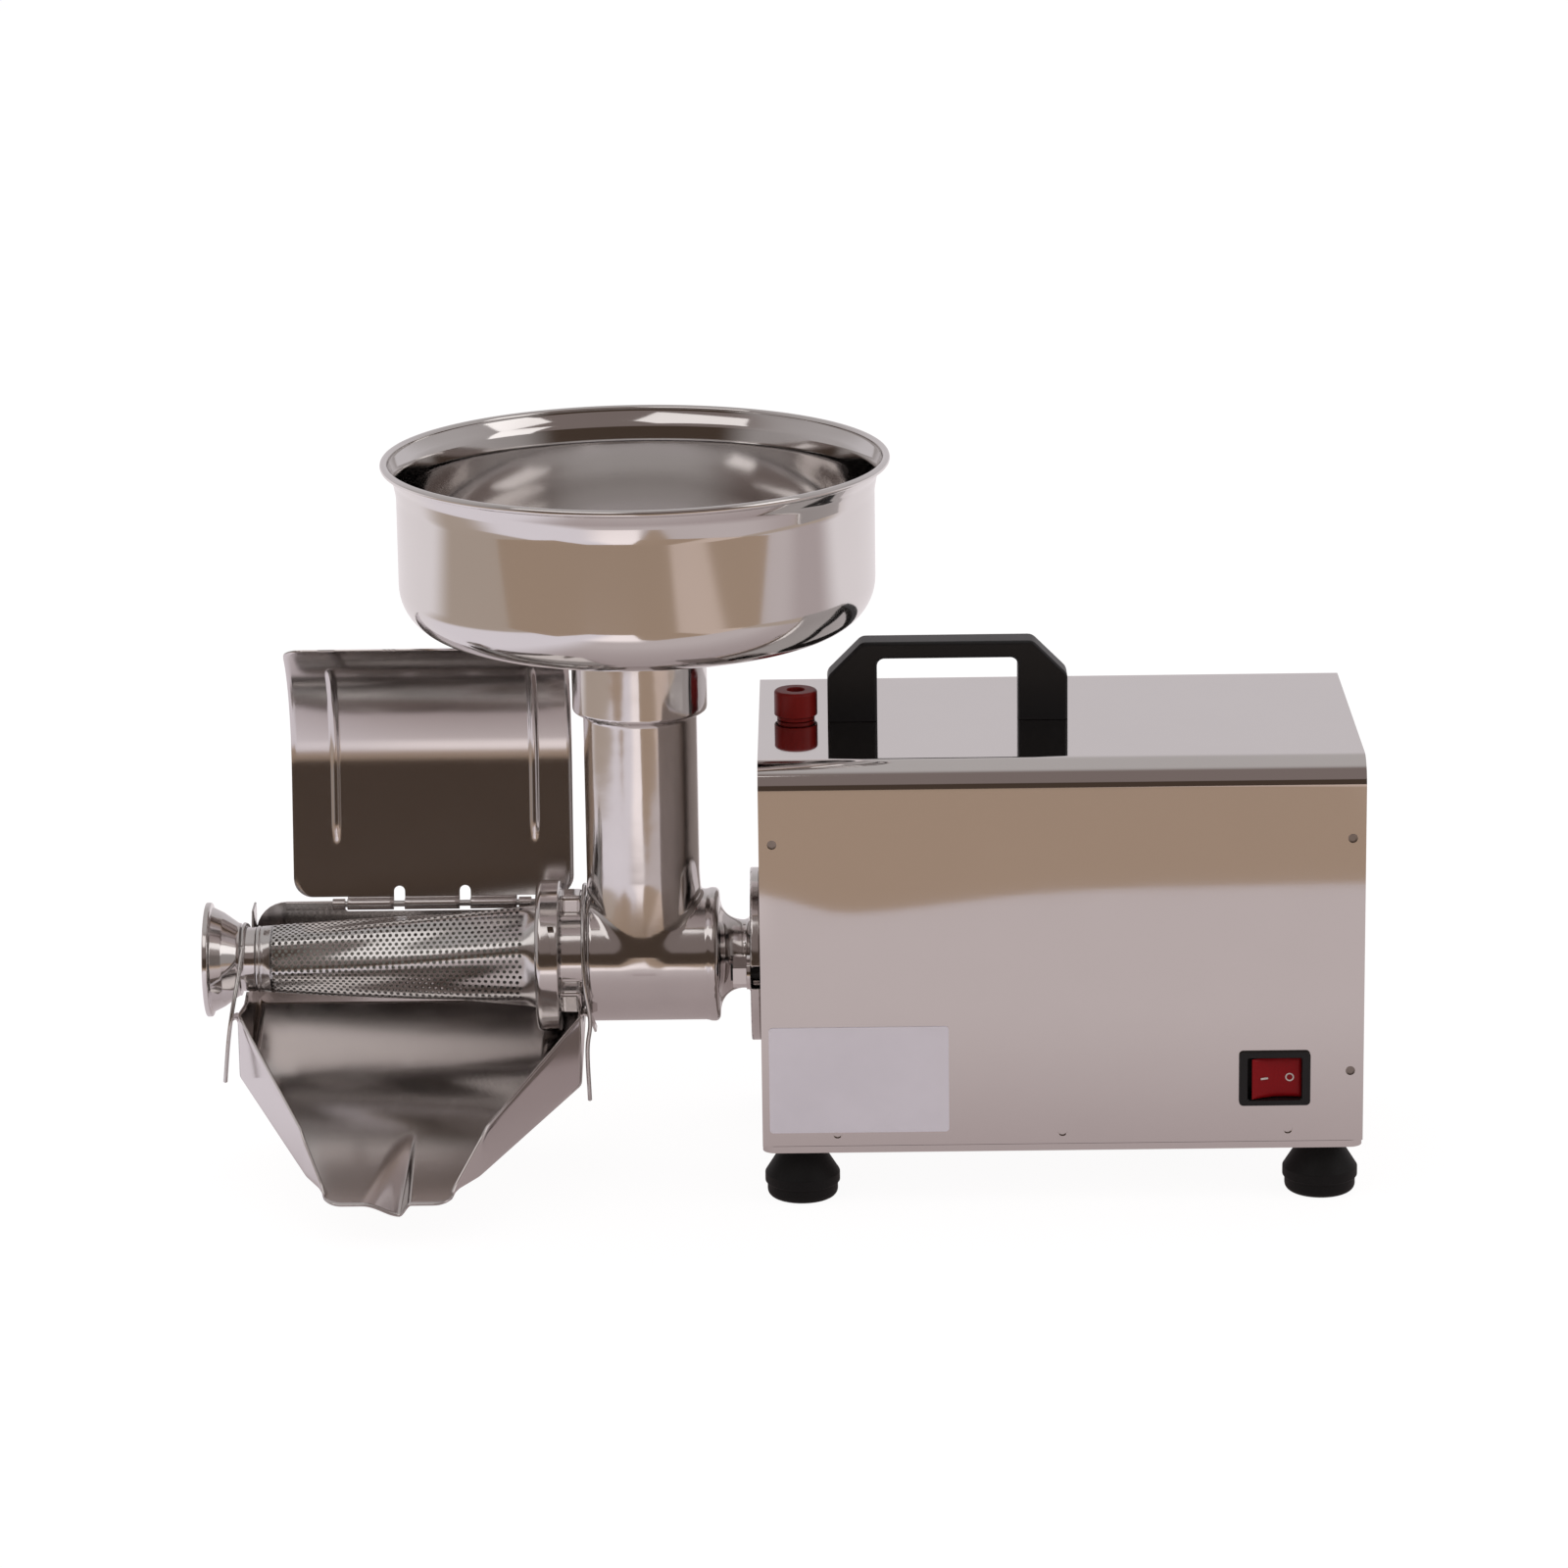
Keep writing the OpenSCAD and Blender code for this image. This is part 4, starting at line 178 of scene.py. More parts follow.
# turned or zinc-plated steel with fine grain
def turnedFinish(name, colour=(0.62, 0.61, 0.60), rough=0.22):
    material, r = newMaterial(name)
    grain = r.noise(700.0, 4.0)
    patch = r.noise(60.0, 2.0)
    r.surface({"Base Color": r.mixColour(patch, colour, darker(colour, 0.82)), "Metallic": 1.0,
               "Roughness": rough + grain * 0.12, "Normal": r.bump(grain, 0.15, 0.0002)})
    return material


# moulded plastic, rubber or film: even colour, fine moulded grain
def plasticFinish(name, colour, rough, grain=0.25, metallic=0.0, coat=0.0, shine=0.5):
    material, r = newMaterial(name)
    fine = r.noise(1400.0, 3.0)
    patch = r.noise(30.0, 3.0, 0.6)
    r.surface({"Base Color": r.mixColour(patch, colour, darker(colour, 0.86)), "Metallic": metallic,
               "Roughness": rough + patch * 0.08, "Coat Weight": coat, "Specular IOR Level": shine,
               "Normal": r.bump(fine, grain, 0.0001)})
    return material


polished = steelFinish("polishedSheet", rough=0.028, wave=0.3, smudge=0.02)
coverSteel = steelFinish("coverSheet", colour=(0.70, 0.67, 0.66), rough=0.13, wave=0.25, waveScale=9.0)
bowlSteel = steelFinish("bowlSheet", colour=(0.76, 0.74, 0.73), rough=0.06, wave=0.3, waveScale=9.0)
castSteel = castFinish("polishedCasting")
strainerSteel = castFinish("strainerSheet", colour=(0.74, 0.73, 0.72), rough=0.16, wave=0.06)
wireSteel = turnedFinish("wireSteel", colour=(0.72, 0.71, 0.70), rough=0.14)
screwSteel = turnedFinish("screwSteel")
machined = turnedFinish("machinedSteel", colour=(0.56, 0.56, 0.58), rough=0.28)
brushed = turnedFinish("brushedPanel", colour=(0.40, 0.36, 0.33), rough=0.3)
blackSteel = plasticFinish("blackStuds", (0.02, 0.02, 0.02), 0.35, metallic=0.6)
blackPlastic = plasticFinish("blackPlastic", (0.010, 0.010, 0.011), 0.36, grain=0.3, shine=0.35)
blackRubber = plasticFinish("blackRubber", (0.006, 0.006, 0.006), 0.5, grain=0.35, shine=0.25)
redRocker = plasticFinish("redRocker", (0.25, 0.005, 0.008), 0.28, grain=0.05, shine=0.15)
redCap = plasticFinish("redCap", (0.24, 0.012, 0.010), 0.34, grain=0.15, shine=0.2)
labelFilm = plasticFinish("labelFilm", (0.76, 0.71, 0.77), 0.38, grain=0.05)
markPaint = plasticFinish("markPaint", (0.62, 0.55, 0.52), 0.4, grain=0.05)
castAluminium = turnedFinish("castAluminium", colour=(0.60, 0.60, 0.61), rough=0.42)
laminations = turnedFinish("laminations", colour=(0.30, 0.30, 0.32), rough=0.5)
copper = plasticFinish("copperWire", (0.42, 0.17, 0.06), 0.32, metallic=0.7, coat=0.4)
fanPlastic = plasticFinish("fanPlastic", (0.06, 0.06, 0.065), 0.5)
creamPlastic = plasticFinish("creamPlastic", (0.62, 0.58, 0.46), 0.45)
bronze = turnedFinish("bronze", colour=(0.55, 0.36, 0.16), rough=0.35)
foodPlastic = plasticFinish("foodPlastic", (0.72, 0.71, 0.66), 0.4)
slotMaterial = {"polished_steel": polished, "perforated_steel": strainerSteel, "screw_steel": screwSteel,
                "black_plastic": blackPlastic, "black_rubber": blackRubber, "black_steel": blackSteel,
                "red_rocker": redRocker, "red_cap": redCap, "label_film": labelFilm,
                "cast_aluminium": castAluminium, "machined_steel": machined, "laminations": laminations,
                "copper": copper, "fan_plastic": fanPlastic, "terminal_plastic": creamPlastic,
                "bronze": bronze, "food_plastic": foodPlastic}
ownMaterial = {"left_panel": brushed, "right_panel": brushed, "case_screws": polished}
for part in frame["record"]["subparts"]:
    mesh = nodes[part["node"]].data
    mesh.materials.clear()
    mesh.materials.append(ownMaterial.get(part["node"], slotMaterial[part["material_slot"]]))
print("materials done")


# quads of a grid of points, numbered row by row; a looped side joins its last line to its first
def gridFaces(rows, columns, loopRows=False, loopColumns=False):
    i = np.arange(rows if loopRows else rows - 1)[:, None]
    j = np.arange(columns if loopColumns else columns - 1)[None, :]
    i2, j2 = (i + 1) % rows, (j + 1) % columns
    quads = np.stack([i * columns + j, i * columns + j2, i2 * columns + j2, i2 * columns + j], -1)
    return quads.reshape(-1, 4).tolist()


# the two flat ends of a row of rings with n points each
def endFaces(rings, n):
    last = (rings - 1) * n
    return [list(range(n))[::-1], list(range(last, last + n))]


def addObject(name, data):
    item = bpy.data.objects.new(name, data)
    bpy.context.scene.collection.objects.link(item)
    return item


# points in millimetres and faces become one piece that rides on a body
def makePiece(name, points, faces, material, body, stands=(), sharp=38.0, normals=None,
              outward=True, weighted=True, bevel=None, thick=None):
    mesh = bpy.data.meshes.new(name)
    mesh.from_pydata((np.asarray(points, float) * mm).tolist(), [], faces)
    if outward:
        bm = bmesh.new()
        bm.from_mesh(mesh)
        bmesh.ops.remove_doubles(bm, verts=bm.verts, dist=1e-7)
        bmesh.ops.dissolve_degenerate(bm, edges=bm.edges, dist=1e-8)
        bmesh.ops.recalc_face_normals(bm, faces=bm.faces)
        bm.to_mesh(mesh)
        bm.free()
    mesh.polygons.foreach_set("use_smooth", np.ones(len(mesh.polygons), bool))
    mesh.materials.append(material)
    if normals is not None:
        mesh.normals_split_custom_set_from_vertices(normals.tolist())
    else:
        mesh.set_sharp_from_angle(angle=radians(sharp))
    piece = addObject(name, mesh)
    if thick is not None:
        wall = piece.modifiers.new("wall", "SOLIDIFY")
        wall.thickness, wall.offset = thick * mm, 0.0
        wall.use_even_offset = True
    if bevel is not None:
        edge = piece.modifiers.new("edge", "BEVEL")
        edge.width, edge.segments, edge.limit_method, edge.angle_limit = bevel * mm, 3, "ANGLE", radians(40)
        edge.harden_normals = True
    if weighted and normals is None:
        weigh = piece.modifiers.new("weigh", "WEIGHTED_NORMAL")
        weigh.keep_sharp = True
    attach(piece, body)
    if stands:
        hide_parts(*stands)
    return piece


# a path through corner points (u, v, radius), with an arc at each corner, a point every few degrees
def rounded(corners, closed=False, step=12.0):
    points = [np.array(corner[:2], float) for corner in corners]
    out = []
    n = len(points)
    for i, corner in enumerate(corners):
        radius = corner[2]
        if (not closed and i in (0, n - 1)) or radius <= 0:
            out.append(points[i])
            continue
        a, b = points[i - 1] - points[i], points[(i + 1) % n] - points[i]
        a, b = a / np.linalg.norm(a), b / np.linalg.norm(b)
        half = np.arccos(np.clip(a @ b, -1, 1)) / 2
        if half > radians(89.5):
            out.append(points[i])
            continue
        reach = radius / np.tan(half)
        middle = points[i] + (a + b) / np.linalg.norm(a + b) * radius / np.sin(half)
        start, end = points[i] + a * reach, points[i] + b * reach
        a0, a1 = atan2(*(start - middle)[::-1]), atan2(*(end - middle)[::-1])
        turn = (a1 - a0 + pi) % (2 * pi) - pi
        spans = max(2, int(abs(turn) / radians(step)) + 1)
        for t in np.linspace(a0, a0 + turn, spans + 1):
            out.append(middle + radius * np.array([cos(t), sin(t)]))
    return np.array(out)


def roundedBox(x0, z0, x1, z1, radius):
    return rounded([(x0, z0, radius), (x1, z0, radius), (x1, z1, radius), (x0, z1, radius)], closed=True)


# the unit direction of a path at each of its points
def direction(path):
    d = np.gradient(path, axis=0)
    return d / np.linalg.norm(d, axis=1)[:, None]


# a closed outline that lies t / 2 to each side of an open path
def thicken(path, t):
    d = direction(path)
    side = np.stack([-d[:, 1], d[:, 0]], 1) * t / 2
    return np.concatenate([path + side, (path - side)[::-1]])


# a profile of (length, radius) turned about the X or the Z axis through the middle point
def revolve(profile, middle, axis="x", steps=144, closed=True):
    a = np.linspace(0, 2 * pi, steps, endpoint=False)[:, None]
    length, radius = profile[:, 0][None, :] + 0 * a, profile[:, 1][None, :]
    c, s = radius * np.cos(a), radius * np.sin(a)
    if axis == "x":
        points = np.stack([length, middle[1] + c, middle[2] + s], -1)
    else:
        points = np.stack([middle[0] + c, middle[1] + s, length], -1)
    return points.reshape(-1, 3), gridFaces(steps, len(profile), loopRows=True, loopColumns=closed)


# a closed outline carried along X (plane yz) or Y (plane xz), with flat ends
def extrude(outline, low, high, plane="yz"):
    n = len(outline)
    rows = []
    for value in (low, high):
        line = np.full((n, 1), value)
        if plane == "yz":
            rows.append(np.hstack([line, outline]))
        else:
            rows.append(np.hstack([outline[:, :1], line, outline[:, 1:]]))
    return np.concatenate(rows), gridFaces(2, n, loopColumns=True) + endFaces(2, n)


# a curve through the points: each span blends its four nearest points with cubic weights
def smoothLine(points, steps=10):
    p = np.asarray(points, float)
    p = np.vstack([2 * p[0] - p[1], p, 2 * p[-1] - p[-2]])
    t = np.linspace(0, 1, steps, endpoint=False)[:, None]
    out = []
    for a, b, c, d in zip(p[:-3], p[1:-2], p[2:-1], p[3:]):
        out.append(0.5 * (2 * b + (c - a) * t + (2 * a - 5 * b + 4 * c - d) * t ** 2
                          + (3 * b - a - 3 * c + d) * t ** 3))
    return np.vstack(out + [p[-2:-1]])


# a round tube along a path: rings square to it, kept from twisting, closed with a point at each end
def sweep(path, radius, sides=14):
    d = direction(path)
    a = np.cross(d[0], [0.3, 0.2, 1.0])
    first, second = [], []
    for t in d:
        a = a - (a @ t) * t
        a = a / np.linalg.norm(a)
        first.append(a)
        second.append(np.cross(t, a))
    w = np.linspace(0, 2 * pi, sides, endpoint=False)[None, :, None]
    out = np.cos(w) * np.array(first)[:, None] + np.sin(w) * np.array(second)[:, None]
    points = (path[:, None] + radius * out).reshape(-1, 3)
    n = len(points)
    last = n - sides
    faces = gridFaces(len(path), sides, loopColumns=True)
    faces += [[(j + 1) % sides, j, n] for j in range(sides)]
    faces += [[last + j, last + (j + 1) % sides, n + 1] for j in range(sides)]
    tips = path[0] - d[0] * radius * 0.6, path[-1] + d[-1] * radius * 0.6
    return np.vstack([points, *tips]), faces


# a slab along Y with quarter-round rims: inset = edge * (1 - sin t) at a height of edge * (1 - cos t)
def softSlab(outline, low, high, edge, steps=5):
    following = np.roll(outline, -1, 0)
    d = following - np.roll(outline, 1, 0)
    d /= np.linalg.norm(d, axis=1)[:, None]
    turn = np.sign((outline[:, 0] * following[:, 1] - outline[:, 1] * following[:, 0]).sum())
    inward = np.stack([-d[:, 1], d[:, 0]], 1) * turn
    rings = []
    for end, s in ((low, 1), (high, -1)):
        for t in np.linspace(0, pi / 2, steps)[::s]:
            flat = outline + inward * edge * (1 - sin(t))
            height = np.full(len(flat), end + s * edge * (1 - cos(t)))
            rings.append(np.stack([flat[:, 0], height, flat[:, 1]], 1))
    n = len(outline)
    return np.concatenate(rings), gridFaces(len(rings), n, loopColumns=True) + endFaces(len(rings), n)


# several (points, faces) pairs as one
def merged(parts):
    points, faces, base = [], [], 0
    for p, f in parts:
        points.append(np.asarray(p, float))
        faces += [[i + base for i in face] for face in f]
        base += len(p)
    return np.vstack(points), faces


# cuts closed (points, faces) solids out of a piece and keeps the result as its mesh
def carve(piece, tools, sharp=38.0):
    points, faces = merged(tools)
    mesh = bpy.data.meshes.new("cutter")
    mesh.from_pydata((points * mm).tolist(), [], faces)
    bm = bmesh.new()
    bm.from_mesh(mesh)
    bmesh.ops.recalc_face_normals(bm, faces=bm.faces)
    bm.to_mesh(mesh)
    bm.free()
    tool = addObject("cutter", mesh)
    cut = piece.modifiers.new("cut", "BOOLEAN")
    cut.object, cut.operation, cut.solver, cut.use_self = tool, "DIFFERENCE", "EXACT", True
    piece.modifiers.move(piece.modifiers.find("cut"), 0)
    bpy.context.view_layer.update()
    baked = bpy.data.meshes.new_from_object(piece.evaluated_get(bpy.context.evaluated_depsgraph_get()))
    piece.modifiers.remove(piece.modifiers["cut"])
    baked.set_sharp_from_angle(angle=radians(sharp))
    piece.data = baked
    bpy.data.objects.remove(tool)


# a plain rod along an axis, to cut a round hole with
def pinTool(middle, axis, radius, length=8, steps=40):
    a = np.linspace(0, 2 * pi, steps, endpoint=False)
    others = [i for i in range(3) if i != axis]
    rings = np.zeros((2, steps, 3)) + np.array(middle, float)
    rings[..., others[0]] += radius * np.cos(a)
    rings[..., others[1]] += radius * np.sin(a)
    rings[0, :, axis] -= length / 2
    rings[1, :, axis] += length / 2
    return rings.reshape(-1, 3), gridFaces(2, steps, loopColumns=True) + endFaces(2, steps)


def revolvePiece(name, corners, middle, material, body, stands, axis="x", steps=144):
    points, faces = revolve(rounded(corners, closed=True), middle, axis, steps)
    return makePiece(name, points, faces, material, body, stands)


buttonX = 10.3
caseHoles = {"switch": (213.4, 48.3, 240.6, 70.9), "switchCorner": 1.5, "gland": (225.5, 93, 62),
             "glandR": 6.6, "buttonR": 5.6, "handleX": (36.5, 124.5), "handleR": 2.7, "screwR": 2.15,
             "screwLow": 35.0, "screwX": (27.3125, 130.25, 233.1875), "sideX": (-1.0, 261.5),
             "sideZ": (62.7, 172.8), "topZ": 209}


# a path up the front, over the top and down the back, carried along X; flats take the direction of
# their own long span, so that they stay dead flat
def makeCase():
    b, h = caseBox, caseHoles
    sheet, longSpan = 1.0, 20
    low = b["z0"] + b["hem"]
    outline = rounded([(b["y0"], low, 0), (b["y0"], b["z1"], b["bend"]), (b["y1"], b["z1"], b["bend"]),
                       (b["y1"], low, 0)], step=5)
    d = np.gradient(outline, axis=0)
    for i, span in enumerate(np.diff(outline, axis=0)):
        if np.linalg.norm(span) > longSpan:
            d[i] = d[i + 1] = span
    d /= np.linalg.norm(d, axis=1)[:, None]
    inner = outline - np.stack([-d[:, 1], d[:, 0]], 1) * sheet
    points, faces = extrude(np.vstack([outline, inner[::-1]]), b["x0"], b["x1"])
    piece = makePiece("wrapCover", points, faces, polished, "root", ["wrap_cover"],
                      sharp=30)
    tools = [extrude(roundedBox(*h["switch"], h["switchCorner"]), b["y0"] - 2.5, b["y0"] + 3.5, "xz"),
             pinTool(h["gland"], 1, h["glandR"]), pinTool((buttonX, press["y"], h["topZ"]), 2, h["buttonR"])]
    tools += [pinTool((x, press["y"], h["topZ"]), 2, h["handleR"]) for x in h["handleX"]]
    screws = [(x, h["screwLow"]) for x in h["screwX"]] + [(x, z) for x in h["sideX"] for z in h["sideZ"]]
    tools += [pinTool((x, y, z), 1, h["screwR"]) for y in (b["y0"], b["y1"]) for x, z in screws]
    carve(piece, tools, 30)


# a profile of (height, radius) turned about Z: pad, band, taper and the pocket for the screw
def makeFeet():
    foot = {"tip": 16.25, "edge": 17.25, "top": 8.3, "pocket": 6.0, "height": 25.85, "pad": 7.0,
            "band": 11.6, "screw": 2.6, "deep": 21.0, "x": {"left": 11.0, "right": 249.5},
            "y": {"front": -59.5, "rear": 75.5}}
    corners = [(0, foot["pocket"], 0.6), (0, foot["tip"], 3.4), (foot["pad"] - 0.1, foot["tip"], 0.3),
               (foot["pad"], foot["edge"], 0.8), (foot["band"], foot["edge"], 1.2),
               (foot["height"], foot["top"], 0.5), (foot["height"], foot["screw"], 0.2),
               (foot["deep"], foot["screw"], 0.2), (foot["deep"], foot["pocket"], 0.4)]
    for end, y in foot["y"].items():
        for side, x in foot["x"].items():
            revolvePiece("Foot" + end.title() + side.title(), corners, (x, y, 0), blackRubber, "root",
                         ["foot_" + end + "_" + side], "z", 96)


# a closed outline in (x, z) with cut corners, made a slab with quarter-round rims
def makeHandle():
    h = {"x": 80.5, "w": 111.0, "h": 37.5, "post": 23.0, "bar": 8.0, "cut": 16.0, "deep": 16.0, "z": 209.65,
         "corner": 5, "inside": 3.5, "toe": 0.4, "rim": 1.7}
    u = h["w"] / 2
    v = u - h["post"]
    under = h["h"] - h["bar"]
    outline = [(-u, 0, h["toe"]), (-u, h["h"] - h["cut"], h["corner"]), (-u + h["cut"], h["h"], h["corner"]),
               (u - h["cut"], h["h"], h["corner"]), (u, h["h"] - h["cut"], h["corner"]), (u, 0, h["toe"]),
               (v, 0, h["toe"]), (v, under, h["inside"]), (-v, under, h["inside"]), (-v, 0, h["toe"])]
    path = rounded(outline, closed=True) + np.array([h["x"], h["z"]])
    points, faces = softSlab(path, press["y"] - h["deep"] / 2, press["y"] + h["deep"] / 2, h["rim"])
    points[points[:, 2] < h["z"] + 1.8, 2] = h["z"]  # the feet stand flat
    makePiece("carryHandle", points, faces, blackPlastic, "root", ["carry_handle"], sharp=50)


# profiles of (height, radius) turned about Z: the cap with its dished top, its stem, and the nut
def makeButton():
    cap = {"z": 214.0, "r": 10.0, "h": 9.4, "skirt": 2.3, "inner": 9.15, "dish": 4.2, "dishDeep": 3.4,
           "dishFloor": 3.8, "stem": 1.7, "stemZ": 199.0, "nutLow": 209.65, "nutHigh": 211.9, "nutHole": 5.65,
           "nutR": 8.75}
    middle = (buttonX, press["y"], 0)
    low, high = cap["z"] - cap["skirt"], cap["z"] + cap["h"]  # the skirt hangs over the nut
    corners = [(cap["z"] + 0.1, 0, 0), (cap["z"] + 0.1, cap["inner"], 0.2), (low, cap["inner"], 0.2),
               (low, cap["r"], 0.4), (high, cap["r"], 1.3), (high, cap["dish"], 0.5),
               (high - cap["dishDeep"], cap["dishFloor"], 0.4), (high - cap["dishDeep"], 0, 0)]
    head = revolve(rounded(corners), middle, "z", 96, closed=False)
    corners = [(cap["stemZ"], 0, 0), (cap["stemZ"], cap["stem"], 0.3), (cap["z"] + 0.2, cap["stem"], 0),
               (cap["z"] + 0.2, 0, 0)]
    stem = revolve(rounded(corners), middle, "z", 32, closed=False)
    points, faces = merged([head, stem])
    makePiece("resetCap", points, faces, redCap, "button", ["reset_button"])
    nut = [(cap["nutLow"], cap["nutHole"], 0.2), (cap["nutLow"], cap["nutR"], 0.3),
           (cap["nutHigh"], cap["nutR"], 0.7), (cap["nutHigh"], cap["nutHole"], 0.2)]
    revolvePiece("resetNut", nut, middle, redCap, "root", ["reset_nut"], "z", 96)


switch = {"x": 227.0, "z": 59.6, "w": 32.5, "h": 25.5, "openW": 24.4, "openH": 19.8, "front": -79.7,
          "skin": -77.65, "well": 11, "bodyW": 27.0, "bodyH": 22.4, "bodyFront": -69.2, "bodyBack": -53.6}


# a loft of outlines, from the skin out, over the edge and in to the well's floor, with the body behind it
def makeBezel():
    s = switch
    outer = roundedBox(-s["w"] / 2, -s["h"] / 2, s["w"] / 2, s["h"] / 2, 2)
    inner = roundedBox(-s["openW"] / 2, -s["openH"] / 2, s["openW"] / 2, s["openH"] / 2, 0.8)
    front, rings = s["front"], []
    for outline, scaleX, scaleZ, y in ((outer, 1, 1, s["skin"]), (outer, 1, 1, front + 0.5),
                                       (outer, 0.985, 0.98, front), (inner, 1.03, 1.035, front),
                                       (inner, 1, 1, front + 0.5), (inner, 1, 1, front + s["well"])):
        rings.append(np.stack([s["x"] + outline[:, 0] * scaleX, np.full(len(outline), y),
                               s["z"] + outline[:, 1] * scaleZ], 1))
    n = len(outer)
    frameFaces = gridFaces(len(rings), n, loopColumns=True) + endFaces(len(rings), n)[1:]
    box = roundedBox(-s["bodyW"] / 2, -s["bodyH"] / 2, s["bodyW"] / 2, s["bodyH"] / 2, 0.5)
    body = extrude(box + np.array([s["x"], s["z"]]), s["bodyFront"], s["bodyBack"], "xz")
    points, faces = merged([(np.concatenate(rings), frameFaces), body])
    makePiece("switchBezel", points, faces, blackPlastic, "root", ["switch_housing"])


# the rocker's face is a shallow valley across its width: depth = stand + rise * |u| ^ 1.6, with u from
# -1 to 1, less a soft edge of |u| ^ 14; its rim drops straight back to a narrower base
def makeRocker():
    rock = {"half": 11.45, "tall": 9.5, "stand": 3.9, "rise": 2.5, "tilt": radians(9.0), "pinY": -72.5,
            "edge": 0.9, "back": 0.5, "narrow": 0.72, "pin": 1.55, "pinHalf": 10.4, "markU": 0.5,
            "markOut": 0.35}
    across, up = 41, 21
    u = np.linspace(-1, 1, across)[:, None]
    v = np.linspace(-1, 1, up)[None, :]
    face = -(rock["stand"] + rock["rise"] * np.abs(u) ** 1.6)
    face = face + np.maximum(np.abs(u) ** 14, np.abs(v) ** 14) * rock["edge"]
    grid = np.stack([u * rock["half"] + 0 * v, face, v * rock["tall"] + 0 * u], -1)
    loop = np.concatenate([grid[:, 0], grid[-1, 1:], grid[-2::-1, -1], grid[0, -2:0:-1]])
    base = loop * [rock["narrow"], 0, 1] + [0, rock["back"], 0]
    o, k = across * up, len(loop)
    skirt = [[o + i for i in quad] for quad in gridFaces(2, k, loopColumns=True) + endFaces(2, k)[1:]]
    shell = np.vstack([grid.reshape(-1, 3), loop, base]), gridFaces(across, up) + skirt
    corners = [(-rock["pinHalf"], 0, 0), (-rock["pinHalf"], rock["pin"], 0.2),
               (rock["pinHalf"], rock["pin"], 0.2), (rock["pinHalf"], 0, 0)]
    points, faces = merged([shell, revolve(rounded(corners), (0, 0, 0), "z", 24, closed=False)])
    c, s = cos(rock["tilt"]), sin(rock["tilt"])
    turn = np.array([[c, s, 0], [-s, c, 0], [0, 0, 1]])
    middle = np.array([switch["x"], rock["pinY"], switch["z"]])
    makePiece("switchRocker", points @ turn + middle, faces, redRocker, "rocker",
              ["switch_rocker"], sharp=50)
    # marks that follow the valley: a dash on the left half and a ring on the right half
    half = rock["rise"] * rock["markU"] ** 1.6
    at = -(rock["stand"] + half) - 0.04
    dash = extrude(roundedBox(-7.4, -0.4, -3.8, 0.4, 0.3), at - 0.9, at + 0.7, "xz")
    corners = [(at - 0.55, 1.35, 0.1), (at - 0.55, 1.95, 0.1), (at + 0.9, 1.95, 0.1), (at + 0.9, 1.35, 0.1)]
    circle, circleFaces = revolve(rounded(corners, closed=True), (0, 0, 0), "x", 40)
    circle = np.stack([circle[:, 1] + 6.2, circle[:, 0], circle[:, 2]], 1)
    points, faces = merged([dash, (circle, circleFaces)])
    points[:, 1] += half - rock["rise"] * (np.abs(points[:, 0]) / rock["half"]) ** 1.6 + rock["markOut"]
    makePiece("switchMarks", points @ turn + middle, faces, markPaint, "rocker")


# the smaller of two distances, blended where they come within k of each other
def smoothMin(a, b, k):
    h = np.clip(0.5 + 0.5 * (b - a) / k, 0, 1)
    return b * (1 - h) + a * h - k * h * (1 - h)


# distance to a rod with rounded rims: the longer of how far out and how far past the ends
def rod(p, middle, axis, radius, low, high, edge=0.0):
    others = [i for i in range(3) if i != axis]
    u, v = (p[..., i] - middle[i] for i in others)
    out = np.sqrt(u ** 2 + v ** 2) - radius + edge
    past = np.abs(p[..., axis] - (low + high) / 2) - (high - low) / 2 + edge
    outside = np.sqrt(np.maximum(out, 0) ** 2 + np.maximum(past, 0) ** 2)
    return np.minimum(np.maximum(out, past), 0) + outside - edge


# distance to a block with rounded edges
def block(p, low, high, edge=0.0):
    low, high = np.array(low), np.array(high)
    q = np.abs(p - (low + high) / 2) - ((high - low) / 2 - edge)
    return np.minimum(q.max(-1), 0) + np.sqrt((np.maximum(q, 0) ** 2).sum(-1)) - edge


casting = {"barrel": 30.7, "bead": 31.3, "beadLong": 5.0, "rim": 2.2, "throat": 26.4, "throatLow": 97,
           "throatHigh": 226, "swell": 3.5, "swellTop": 138, "swellLong": 34, "neck": 15.9, "flange": 40.5,
           "mouthNeck": 24.0, "collar": 31.3, "collarX": -107.3, "lugIn": 20.0, "lugOut": 31.0,
           "lugHalf": 7.0, "lugLong": 10.4, "socket": 31.3, "socketLow": 215.0, "top": 245.0,
           "throatBore": 23.5, "socketBore": 28.5, "ledge": 222.7, "bore": 21.5, "boreEnd": -33.4,
           "bushBore": 12.0, "shaftBore": 14.65, "shaftX": -16.3, "studY": 30, "slot": 5.2, "past": 260}


